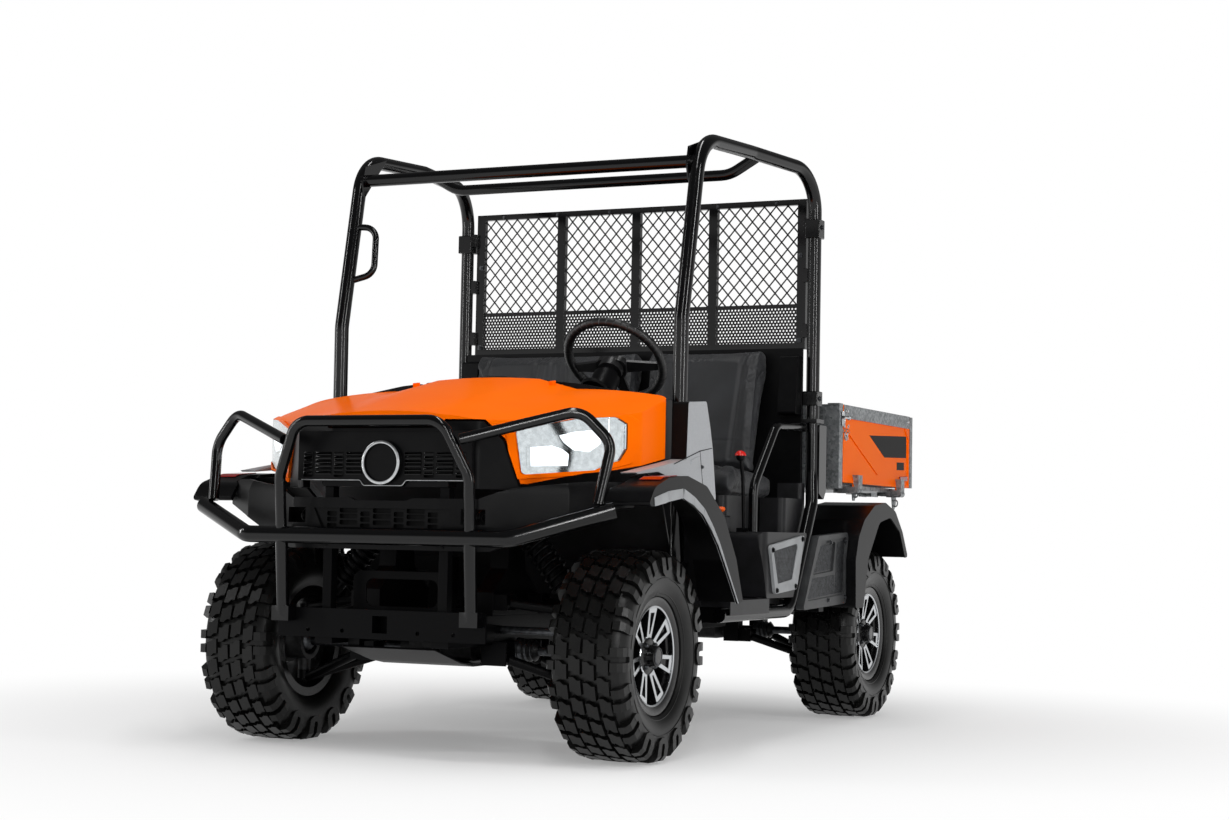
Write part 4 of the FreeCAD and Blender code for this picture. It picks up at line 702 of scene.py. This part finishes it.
bm = bmesh.new()
pleats = [(30 + (10 if i % 2 else 2) - i * 1.1, 246 + i * 8) for i in range(9)]
for y in axle_ys:
    turned(bm, [(16, 240)] + pleats + [(15, 316)], (0, y, axle_height), 40)
mirrored(bm)
boots = piece("joint_boots", bm, grip_rubber, "chassis")
print("springs and boots:", len(springs.data.polygons), len(boots.data.polygons), "faces")

# %% [markdown]
# ## Headlights
# A headlight is a box of bright parts behind a clear moulded cover. The construction has only its body, so the
# body becomes the bright housing, and patches of its own front skin become the bezels, the lit elements and the
# cover. Cut this way, they follow the curved nose exactly.


# %% Headlights
def lamp_piece(name, shapes, material, rounding=0.8):
    """Patches on the left lamp's front, each an outline in x and z, a lift and a depth, and their mirror images."""
    whole = bmesh.new()
    for outline, lift, depth in shapes:
        merge(whole, skin_of("headlights", lambda n, c: n.y <= -0.25 and abs(n.z) <= 0.35 and c.x >= 0, lift, depth,
                             outline, "y"))
    mirrored(whole)
    return piece(name, whole, material, "hood", rounding)


def shrink(outline, share):
    """The outline pulled towards its middle."""
    x0, z0 = (sum(values) / len(outline) for values in zip(*outline))
    return [(x + (x0 - x) * share, z + (z0 - z) * share) for x, z in outline]


beams = [[(416, 872), (512, 877), (514, 918), (498, 934), (470, 946), (414, 938)],
         [(488, 950), (514, 924), (556, 920), (584, 948), (586, 982), (570, 998), (514, 988), (476, 974)]]
corner_lamps = [[(598, 1004), (616, 1008), (610, 968), (602, 962)], [(604, 944), (618, 950), (614, 920), (604, 914)]]
edge_lip = [[(392, 984), (404, 852), (409, 853), (398, 982)], [(624, 940), (624, 1016), (619, 1014), (619, 940)],
            [(392, 984), (398, 979), (527, 1018), (527, 1024)], [(404, 852), (571, 872), (569, 877), (404, 857)],
            [(571, 872), (618, 903), (615, 908), (569, 877)], [(527, 1024), (527, 1018), (612, 1028), (612, 1034)]]
cover = [(404, 852), (571, 872), (618, 903), (628, 940), (628, 1016), (612, 1034), (527, 1024), (390, 984)]
nodes["headlights"].data.materials[0] = reflector
lamp_piece("lamp_bezels", [(shape, 0.6, 2.0) for shape in beams] + [(shape, 0.9, 2.2) for shape in edge_lip],
           reflector)
lamp_piece("lamp_elements", [(shrink(shape, 0.16), 1.4, 2.0) for shape in beams]
           + [(shape, 1.2, 2.0) for shape in corner_lamps], lamp_glow, 0.5)
covers = lamp_piece("lamp_covers", [(shrink(cover, 0.005), 3.6, 1.2)], clear_lens, 0.4)
print("headlights: bezels, elements and covers,", len(covers.data.polygons), "faces in the covers")

# %% [markdown]
# ## Rear screen
# Behind the seats stands a welded frame with four panels. Each has a diamond wire mesh above and a punched sheet
# below. The wires are thin bars laid both ways and cut off at the panel's edge. The punched sheet starts as a
# honeycomb of flat cells: each cell is inset and its middle removed, which leaves the web between the holes.


# %% Screen panels
def islands(node):
    """Boxes in millimetres of a node's separate solids, from left to right."""
    bm = bmesh.new()
    bm.from_mesh(nodes[node].data)
    bmesh.ops.remove_doubles(bm, verts=bm.verts, dist=0.00001)
    boxes, left = [], set(bm.verts)
    while left:
        group, edge = set(), [left.pop()]
        while edge:
            vert = edge.pop()
            group.add(vert)
            near = {e.other_vert(vert) for e in vert.link_edges} & left
            left -= near
            edge += near
        boxes.append([[f(v.co[i] for v in group) * 1000 for i in range(3)] for f in (min, max)])
    bm.free()
    return sorted(boxes)


def punched(bm, low, high, pitch, web, sides):
    """A sheet with holes in the x-z plane: 6 sides give a honeycomb, 4 sides give diamonds."""
    radius = pitch / math.sqrt(3) if sides == 6 else pitch / 2
    rise = radius * (1.5 if sides == 6 else 1)
    for row in range(int((high[1] - low[1]) / rise) + 2):
        for column in range(int((high[0] - low[0]) / pitch) + 2):
            middle = (low[0] + (column + row % 2 / 2) * pitch, 0, low[1] + row * rise)
            bmesh.ops.create_circle(bm, cap_ends=True, segments=sides, radius=radius,
                                    matrix=Matrix.Translation(middle) @ Matrix.Rotation(math.pi / 2, 4, "X"))
    bmesh.ops.remove_doubles(bm, verts=bm.verts, dist=0.05)
    cells = bm.faces[:]
    bmesh.ops.inset_individual(bm, faces=cells, thickness=web / 2)
    bmesh.ops.delete(bm, geom=cells, context="FACES_ONLY")


def punched_patch(bm, corners, start, x):
    """A sheet with diamond holes that faces sideways at x; its corners and where its pattern starts are y and z."""
    grid = bmesh.new()
    punched(grid, start, [max(values) + 6 for values in zip(*corners)], 9, 2.6, 4)
    put(grid, turns=[(90, "Z")])
    trim(grid, corners[::-1], "x")
    bmesh.ops.solidify(grid, geom=grid.faces[:], thickness=1.6)
    put(grid, (x, 0, 0))
    merge(bm, grid)


wire_pitch, wire_slope, band_top = 46, 53 / 46, 1519
wires, sheets = bmesh.new(), bmesh.new()
for (x0, y0, z0), (x1, y1, z1) in islands("screen_mesh"):
    middle_y = (y0 + y1) / 2
    for lean in (1, -1):
        for i in range(-10, 12):
            foot = (x0 if lean > 0 else x1) + i * wire_pitch * lean
            run = lean * (z1 - band_top) / wire_slope
            if max(foot, foot + run) < x0 + 8 or min(foot, foot + run) > x1 - 8:
                continue
            # the wire stops where it meets the panel's sides
            shares = sorted(min(max((x - foot) / run, 0), 1) for x in (x0, x1))
            start, end = ((foot + run * t, middle_y + lean * 1.2, band_top + (z1 - band_top) * t) for t in shares)
            drum(wires, start, end, 2.8, sides=6)
    block(wires, (x0, middle_y - 3, band_top - 6), (x1, middle_y + 3, band_top + 6))
    sheet = bmesh.new()
    punched(sheet, (x0, z0), (x1, band_top), 13, 7.4, 6)
    trim(sheet, [(x0, z0), (x1, z0), (x1, band_top), (x0, band_top)])
    bmesh.ops.solidify(sheet, geom=sheet.faces[:], thickness=1.6)
    put(sheet, (0, middle_y, 0))
    merge(sheets, sheet)
mesh_piece = piece("screen_wires", wires, cage_coat, "chassis")
sheet_piece = piece("screen_sheets", sheets, cage_coat, "chassis")
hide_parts("screen_mesh")

# flange bolts along the top bar, and a bolt on a square washer at two heights of each outer upright
bm = bmesh.new()
bolt_row = box_mm("screen_frame")[1].z - 12
bolts(bm, [(x, 374, bolt_row) for x in (-560, -330, -110, 110, 330, 560)], (0, -1, 0), 5, 6.5)
for side in (1, -1):
    for z in (1700, 1392):
        block(bm, (side * 646, 369, z - 8), (side * 662, 374, z + 8))
    bolts(bm, [(side * 654, 369, z) for z in (1700, 1392)], (0, -1, 0), 4.5, 6)
piece("screen_bolts", bm, dark_steel, "chassis")
print("screen:", len(mesh_piece.data.polygons), "faces of wire,", len(sheet_piece.data.polygons), "of punched sheet")

# %% [markdown]
# ## Nose trim
# Thin mouldings frame the grille: a plated ring round the blank badge seat, and a bright lower edge that drops in
# the middle. The tow loops are bent from round bar behind the bumper's windows.

# %% Nose trim
bm = bmesh.new()
turned(bm, [(57, -2.5), (61.5, -3.6), (65.2, -1.5), (65.2, 2), (57, 2), (57, -2.5)], (0, 0, 0), 64)
put(bm, (0, -1408.5, 883), [(90, "Z")])
piece("badge_ring", bm, bright_steel, "chassis", 0, 50)

bm = bmesh.new()
line = [(-286, 831), (-79, 831), (-67, 815), (67, 815), (79, 831), (286, 831)]
pipe(bm, bend([(x, -1393.6, z) for x, z in line], 6, 3), 1.6, 8)
piece("grille_edge", bm, bright_steel, "chassis")

bm = bmesh.new()
for side in (1, -1):
    hook = [(-1290, 742), (-1338, 738), (-1352, 724), (-1338, 710), (-1290, 706)]
    pipe(bm, bend([(side * 304, y, z) for y, z in hook], 14, 5), 7.5, 14)
piece("tow_loops", bm, chassis_coat, "chassis")
print("nose trim: ring, edge line and tow loops")

# %% [markdown]
# ## Fender strips, reflectors and side trim
# Light grey strips cover the front fenders' lips, and dark red reflectors sit on top of them. The strips are cut
# from a copy of the fender's own skin, so they hug it. The covers beside the seat have a punched screen in their
# window, and dark bolts in their corners.

# %% Fender strips and side trim
lip_line = [(-1200, 762, 30), (-1100, 783, 30), (-994, 795, 28), (-915, 776, 25), (-838, 747, 21), (-776, 706, 17),
            (-715, 656, 13), (-663, 602, 9), (-612, 546, 7), (-545, 470, 6)]
strip = bmesh.new()
for (y0, z0, w0), (y1, z1, w1) in zip(lip_line, lip_line[1:]):
    away = Vector((z0 - z1, y1 - y0)).normalized()
    quad = [(y0, z0 - 1), (y1, z1 - 1), (y1 + away.x * w1, z1 + away.y * w1), (y0 + away.x * w0, z0 + away.y * w0)]
    merge(strip, skin_of("front_fenders", lambda n, c: abs(n.x) > 0.6 and abs(c.x) > 770, 0.6, 1.2, quad))
strips = piece("fender_strips", strip, light_plastic, "chassis")
lens = skin_of("front_fenders", lambda n, c: n.z > 0.6 and c.z > 780, 1.2, 2.4,
               [(716, -1130), (786, -1130), (786, -1010), (716, -1010)], "z")
mirrored(lens)
piece("fender_reflectors", lens, red_lens, "chassis", 1)

bm = bmesh.new()
punched_patch(bm, [(-118, 636), (120, 664), (66, 540), (-72, 526)], (-125, 520), 753)
mirrored(bm)
screens = piece("pod_screens", bm, dark_steel, "chassis")
bm = bmesh.new()
bolts(bm, [(756, -126, 640), (756, 160, 678), (756, 96, 516), (756, -84, 504)], (1, 0, 0), 7, 9)
mirrored(bm)
piece("pod_bolts", bm, soft_black, "chassis")
nodes["pod_grilles"].data.materials[0] = light_plastic
print("side trim:", len(strips.data.polygons), "faces in the strips,", len(screens.data.polygons), "in the screens")

# %% [markdown]
# ## Seats
# Each seat is foam with a vinyl cover pulled tight over it, so its faces are crowned and its corners soft. The
# construction's plain solids are turned into a fine even mesh and blown up a little as cloth with air pressure in
# it, which gives the swell that foam has. After that the sewn lines are pressed in, because they are narrower than
# the mesh's cells: bolsters along the sides, cross channels on the cushions and a stitched loop on each bolster.


# %% Padding
def applied(obj):
    """The object's mesh with its modifiers applied; the modifiers are removed."""
    mesh = bpy.data.meshes.new_from_object(obj.evaluated_get(bpy.context.evaluated_depsgraph_get()))
    obj.modifiers.clear()
    return mesh


def padded_mesh(box, node, voxel=0.006, inset=0.005, cap=0.012):
    """The solid of a node that lies in a box, remeshed, swollen by cloth pressure and capped in how far it moves."""
    bm = bmesh.new()
    bm.from_mesh(nodes[node].data)
    bmesh.ops.remove_doubles(bm, verts=bm.verts, dist=0.00001)
    away = [v for v in bm.verts if not box[0][0] - 1 < v.co.x * 1000 < box[1][0] + 1]
    bmesh.ops.delete(bm, geom=away, context="VERTS")
    pad = add_object("pad", to_mesh("pad", bm))
    remesh = pad.modifiers.new("cells", "REMESH")
    remesh.mode, remesh.voxel_size = "VOXEL", voxel
    rounded = pad.modifiers.new("rounded", "SMOOTH")
    rounded.factor, rounded.iterations = 0.5, 24
    fine = applied(pad)
    normals = [v.normal.copy() for v in fine.vertices]
    for v, normal in zip(fine.vertices, normals):
        v.co -= normal * inset
    pad.data = fine
    rest = [v.co.copy() for v in fine.vertices]
    cloth = pad.modifiers.new("foam", "CLOTH")
    cloth.settings.quality = 3
    cloth.settings.use_pressure = True
    cloth.settings.uniform_pressure_force = 4.0
    cloth.settings.effector_weights.gravity = 0.0
    cloth.settings.tension_stiffness = cloth.settings.compression_stiffness = 12
    cloth.point_cache.frame_start, cloth.point_cache.frame_end = 1, 20
    for frame_number in range(1, 21):
        bpy.context.scene.frame_set(frame_number)
    swollen = applied(pad)
    for v, place, blown in zip(fine.vertices, rest, swollen.vertices):
        step = blown.co - place
        v.co = place + step * min(1.0, cap / max(step.length, 1e-9))
    bpy.data.meshes.remove(swollen)
    bpy.context.scene.frame_set(1)
    bpy.data.objects.remove(pad)
    return fine


def press_lines(mesh, lines, across, facing, width, depth):
    """Sinks grooves into the side that faces an axis; lines join points in the two other coordinates."""
    lines = [(Vector(a) / 1000, Vector(b) / 1000) for a, b in lines]
    u, w = across
    moves = []
    for v in mesh.vertices:
        if v.normal[facing[0]] * facing[1] < 0.25:
            continue
        point, near = Vector((v.co[u], v.co[w])), 1.0
        for a, b in lines:
            run = b - a
            t = min(max((point - a).dot(run) / run.length_squared, 0), 1)
            near = min(near, (point - (a + run * t)).length)
        if near < width / 1000:
            sink = depth / 1000 * (0.5 + 0.5 * math.cos(math.pi * near / (width / 1000)))
            moves.append((v.index, v.normal * sink))
    for index, move in moves:
        mesh.vertices[index].co -= move


def make_pad(name, box, node, grooves, across, facing):
    mesh = padded_mesh(box, node)
    lines, fine_lines = grooves
    press_lines(mesh, lines, across, facing, 16, 7)
    press_lines(mesh, fine_lines, across, facing, 7, 2.2)
    mesh.name = name
    for polygon in mesh.polygons:
        polygon.use_smooth = True
    mesh.materials.append(dark_vinyl)
    pad = add_object(name, mesh)
    finer = pad.modifiers.new("finer", "SUBSURF")
    finer.levels = finer.render_levels = 1
    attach(pad, "chassis")
    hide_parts(node)
    return pad


# %% Seats
def seat_places(x0, x1):
    """Left and right edge of each person's place: two on a wide bench, one otherwise."""
    middle = (x0 + x1) / 2
    return [(x0, x1)] if x1 - x0 < 600 else [(x0, middle), (middle, x1)]


for name, box in zip(("bench_cushion", "driver_cushion"), islands("seat_cushions")):
    (x0, y0, z0), (x1, y1, z1) = box
    places = seat_places(x0, x1)
    lines, fine_lines = [((left, y0), (left, y1)) for left, right in places[1:]], []
    for left, right in places:
        lines += [((x, y0 + 50), (x, y1)) for x in (left + 64, right - 64)]
        fine_lines += [((left + 64, y), (right - 64, y)) for y in (y0 + 60, y0 + 170, y0 + 280)]
    make_pad(name, box, "seat_cushions", (lines, fine_lines), (0, 1), (2, 1))
for name, box in zip(("bench_backrest", "driver_backrest"), islands("seat_backrests")):
    (x0, y0, z0), (x1, y1, z1) = box
    places = seat_places(x0, x1)
    lines, fine_lines = [((left, z0), (left, z1)) for left, right in places[1:]], []
    for left, right in places:
        for edge, way in ((left, 1), (right, -1)):
            lines.append(((edge + way * 62, z1 - 14), (edge + way * 88, z0 + 60)))
            stitches = [(30, z1 - 34), (42, z1 - 30), (66, z0 + 150), (58, z0 + 132)]
            fine_lines += loop([(edge + way * x, z) for x, z in stitches])
        fine_lines.append(((left + 70, z0 + 120), (right - 70, z0 + 120)))
    pad = make_pad(name, box, "seat_backrests", (lines, fine_lines), (0, 2), (1, -1))
print("seats: the last pad has", len(pad.data.polygons), "cells")

# %% [markdown]
# ## Steering wheel and controls
# The rim's grip is scalloped for the fingers: soft ridges follow each other round the ring. The pedals are bent
# steel arms with ribbed rubber pads, hung from a bracket under the dash.

# %% Controls
rim_radius, ridges = 165, 44
bm = bmesh.new()
for i in range(ridges):
    angle = math.tau * i / ridges
    tangent = Vector((-math.sin(angle), math.cos(angle), 0)) * 4.4
    place = Vector((math.cos(angle), math.sin(angle), 0)) * rim_radius
    drum(bm, place - tangent, place, 14.6, 16.0, 16)
    drum(bm, place, place + tangent, 16.0, 14.6, 16)
put(bm, (300, -425, 1262), [(-45, "X")])
piece("rim_ridges", bm, grip_rubber, "steering_wheel", 0, 20)

arms, pads = bmesh.new(), bmesh.new()
for x, width in ((395, 30), (285, 46)):
    pipe(arms, bend([(x, -600, 960), (x, -588, 800), (x, -560, 690), (x, -520, 600)], 60, 6), 7, 10)
    pad = bmesh.new()
    block(pad, (x - width, -6, -38), (x + width, 4, 38))
    for z in range(-30, 31, 12):
        block(pad, (x - width + 5, -9, z - 3), (x + width - 5, -6, z + 3))
    put(pad, (0, -512, 602), [(-35, "X")])
    merge(pads, pad)
block(arms, (250, -625, 952), (430, -590, 970))
piece("pedal_arms", arms, chassis_coat, "chassis", 1)
piece("pedal_pads", pads, grip_rubber, "chassis", 1.5)
print("controls: grip ridges and pedals")

# %% [markdown]
# ## Bed hardware
# The drop sides carry a galvanised rail that is folded over the top edge. Spring latches at the front corners hold
# them up, with a short chain beside each. Every hinge is a galvanised strap, and brackets with a ring hang under
# the floor. The rails are thin folded channels, so a flat outline is swept along each side.


# %% Bed rails, latches and straps
bed_face = 732  # how far out the faces of the bed's sides lie


def channel(bm, side, y0, y1, top):
    """A galvanised channel, 1 mm thick, folded over the top of a bed side."""
    outer, inner, hem = bed_face + 1.2, bed_face - 33.2, top - 24
    outline = [(outer, top - 48), (outer, top + 1.4), (inner, top + 1.4), (inner, hem), (inner + 1, hem),
               (inner + 1, top + 0.3), (outer - 1, top + 0.3), (outer - 1, top - 48)]
    prism(bm, [(side * x, z) for x, z in outline], "y", y0, y1)


for side, word in hands:
    body = "bed_side_" + word
    low, high = box_mm(body)
    bm = bmesh.new()
    channel(bm, side, low.y + 2, high.y - 2, high.z)
    merge(bm, skin_of(body, lambda n, c: abs(c.x) > 733.7 and c.z < 925, 0.9, 1.8))
    piece("bed_rail_" + word, bm, zinc, body, 0.8)
    bm = bmesh.new()
    bolts(bm, [(side * (bed_face + 6), y, 899) for y in (781, 799, 1301, 1319)], (side, 0, 0), 4.5, 6)
    bolts(bm, [(side * (bed_face + 1.2), y, high.z - 22) for y in (low.y + 30, high.y - 30)], (side, 0, 0), 6, 8)
    piece("bed_bolts_" + word, bm, bright_steel, body)
    bm = bmesh.new()
    for stripe in ([(961, 1078), (1424, 1096), (1427, 1010), (1148, 1001)],
                   [(high.y - 150, 957), (high.y - 56, 960), (high.y - 58, 990), (high.y - 150, 988)]):
        prism(bm, stripe, "x", side * (bed_face - 4.2), side * (bed_face - 3.2))
    piece("bed_stripe_" + word, bm, soft_black, body)
    bm = bmesh.new()
    lens = [(high.y - 118, 914), (high.y - 22, 918), (high.y - 22, 936), (high.y - 118, 932)]
    prism(bm, lens, "x", side * (bed_face - 4.5), side * (bed_face + 1.5))
    piece("bed_reflector_" + word, bm, red_lens, body, 1.5)

# galvanised brackets hang under the floor at the two hinges, with a ring for a strap
for side, word in hands:
    bm = bmesh.new()
    for y, low_z in ((862, 826), (1352, 800)):
        plate = [(y - 30, 884), (y + 30, 884), (y + 24, low_z + 22), (y + 6, low_z), (y - 14, low_z),
                 (y - 22, low_z + 30)]
        prism(bm, plate, "x", side * 700, side * 704)
        block(bm, (side * 676, y - 16, 850), (side * 724, y + 16, 853))
        pipe(bm, [(side * (712 + 9 * math.cos(a)), y - 8, low_z + 26 + 13 * math.sin(a))
                  for a in (math.tau * i / 16 for i in range(17))], 3.0, 8)
    piece("bed_brackets_" + word, bm, zinc, "bed", 0.6)

# latches on the front posts, and the chain loops that hang beside them
bm, chain = bmesh.new(), bmesh.new()
for side in (1, -1):
    block(bm, (side * 732, 608, 1096), (side * 741, 634, 1150))
    drum(bm, (side * 745, 602, 1128), (side * 745, 668, 1128), 5.5, sides=16)
    drum(bm, (side * 745, 666, 1128), (side * 745, 676, 1128), 9, 7, sides=16)
    pipe(bm, bend([(side * 745, 606, 1128), (side * 752, 600, 1128), (side * 752, 600, 1104)], 6, 4), 3.2, 8)
    for i in range(9):
        swing = math.pi * i / 8
        link = bmesh.new()
        pipe(link, [(0, 5 * math.cos(a), 8 * math.sin(a)) for a in (math.tau * j / 12 for j in range(13))], 1.5, 6)
        put(link, (side * 750, 606 + i * 5.5, 1096 - math.sin(swing) * 46),
            [(90 if i % 2 else 0, "Z"), (50 * math.cos(swing), "X")])
        merge(chain, link)
piece("bed_latches", bm, bright_steel, "bed", 0.6)
piece("latch_chains", chain, bright_steel, "bed")
print("bed: rails, straps, latches and chains")

# %% [markdown]
# ## Panel seams and bolts
# The silver quarter panel is two mouldings: a dark seam runs along the hood and another one runs down from it. A
# blank raised bar takes the place of lettering. Flange bolts hold the quarter panels, the rear side panels and
# the clamps on the cage's rear posts.

# %% Seams, bolts and clamps
quarter_face = 702.0
bm = bmesh.new()
for seam in ([(-842, 900), (-640, 948), (-640, 951.5), (-843, 903)],
             [(-640, 948), (-541, 962), (-540, 964.5), (-640, 951.5)],
             [(-640, 948), (-637, 948), (-600, 800), (-603, 800)]):
    prism(bm, seam, "x", quarter_face - 0.5, quarter_face + 0.5)
mirrored(bm)
piece("cowl_seams", bm, soft_black, "chassis")
bm = bmesh.new()
prism(bm, [(-712, 905), (-650, 920), (-648, 934), (-710, 919)], "x", quarter_face - 1, quarter_face + 3)
mirrored(bm)
piece("cowl_bars", bm, silver_resin, "chassis", 1.2)

bm, clamps, clamp_bolts = bmesh.new(), bmesh.new(), bmesh.new()
for side in (1, -1):
    bolts(bm, [(side * quarter_face, -622, 900), (side * quarter_face, -606, 838)], (side, 0, 0), 4.5, 6.5)
    bolts(bm, [(side * 765, y, z) for y, z in ((430, 668), (590, 676), (588, 470), (410, 462))], (side, 0, 0), 6, 8.5)
    # clamps on the cage's rear posts, each a folded plate with one flange bolt
    for z, tall in ((1790, 34), (1180, 26)):
        block(clamps, (side * 684, 337, z - tall), (side * 739.5, 393, z + tall))
    bolts(clamp_bolts, [(side * 739.5, 365, z) for z in (1796, 1180)], (side, 0, 0), 7, 10)
piece("panel_bolts", bm, dark_steel, "chassis")
piece("post_clamps", clamps, cage_coat, "chassis", 3)
piece("clamp_bolts", clamp_bolts, dark_steel, "chassis")
print("panels: seams, bars, bolts and clamps")

# %% [markdown]
# ## Screens, backing and knobs
# Stamped screens lie in the three sunk fields of each rear side panel. Behind the grille's and the intake's slots
# black sheets stand in for the shade of the engine bay, a painted shade that keeps the openings dark. The gear
# lever has a red button, the bed's lever an orange knob, both dip-moulded.

# %% Screens, backing and knobs
bm = bmesh.new()
for depth, corners in ((753.2, [(349, 654), (491, 665), (469, 572), (257, 558)]),
                       (760.2, [(512, 668), (592, 678), (576, 488), (494, 484)]),
                       (760.2, [(242, 540), (488, 552), (488, 484), (195, 468)])):
    punched_patch(bm, corners, [min(values) - 6 for values in zip(*corners)], depth)
mirrored(bm)
piece("panel_screens", bm, dark_steel, "chassis")
# painted highlight: the rear side panels are black plastic, and their lighter grey is the light they catch, painted
# into the colour
nodes["rear_side_panels"].data.materials[0] = highlit_black_plastic

# moulded rims round the slots, six rows in the grille
bm = bmesh.new()
for side in (1, -1):
    for i in range(6):
        for x, half in ((102, 27), (156, 15), (210, 27), (264, 15)):
            left, right, foot, top = side * x - half, side * x + half, 848.4 + 11.6 * i, 855.6 + 11.6 * i
            rim = [(left, foot), (right, foot), (right, top), (left, top), (left, foot)]
            pipe(bm, [(u, -1393, w) for u, w in rim], 1.3, 5)
piece("grille_rims", bm, cage_coat, "chassis")

# painted shade: flat black sheets behind the grille's and the intake's slots stand in for the dark engine bay
bm = bmesh.new()
block(bm, (-288, -1377, 838), (288, -1374.5, 926))
block(bm, (-240, -1384, 686), (240, -1381.5, 748))
piece("slot_painted_shade_sheets", bm, soft_black, "chassis", 0.6)

button = skin_of("levers", lambda n, c: c.z > 954, 0.8, 1.6)
piece("lever_button", button, red_plastic, "chassis")
bm = bmesh.new()
block(bm, (598, -286, 699.5), (650, -238, 752))
piece("bed_lever_base", bm, grey_plastic, "chassis", 7)
bm = bmesh.new()
turned(bm, [(0, -2), (5, -2), (5, 10), (12, 14), (15, 20), (12, 27), (0, 29)], (0, 0, 0), 32)
put(bm, (622, -262, 753), [(-90, "Y")])
piece("bed_lever_knob", bm, orange_knob, "chassis", 0.8)

# the black band that follows the hood's rear edge, on the front of the silver quarter panels
band = skin_of("cowl_sides", lambda n, c: n.y < -0.4 and c.z > 900, 0.7, 1.4)
piece("hood_bands", band, soft_black, "chassis")
print("screens, backing, knobs and bands")

# %% [markdown]
# ## Dash
# The dash carries one round instrument, turned as a ring with a blank dark face, and a row of four rockers.

# %% Dash
bm = bmesh.new()
turned(bm, [(44, 0), (47, 4), (47, 12), (43, 14), (40, 8), (0, 8)], (0, 0, 0), 48)
put(bm, (300, -588, 1150), [(-40, "X"), (-90, "Y")])
for i in range(4):
    block(bm, (60 + i * 34, -577, 1040), (86 + i * 34, -566, 1078))
piece("dash_instruments", bm, soft_black, "chassis", 1.0)
print("dash: instrument and rockers")
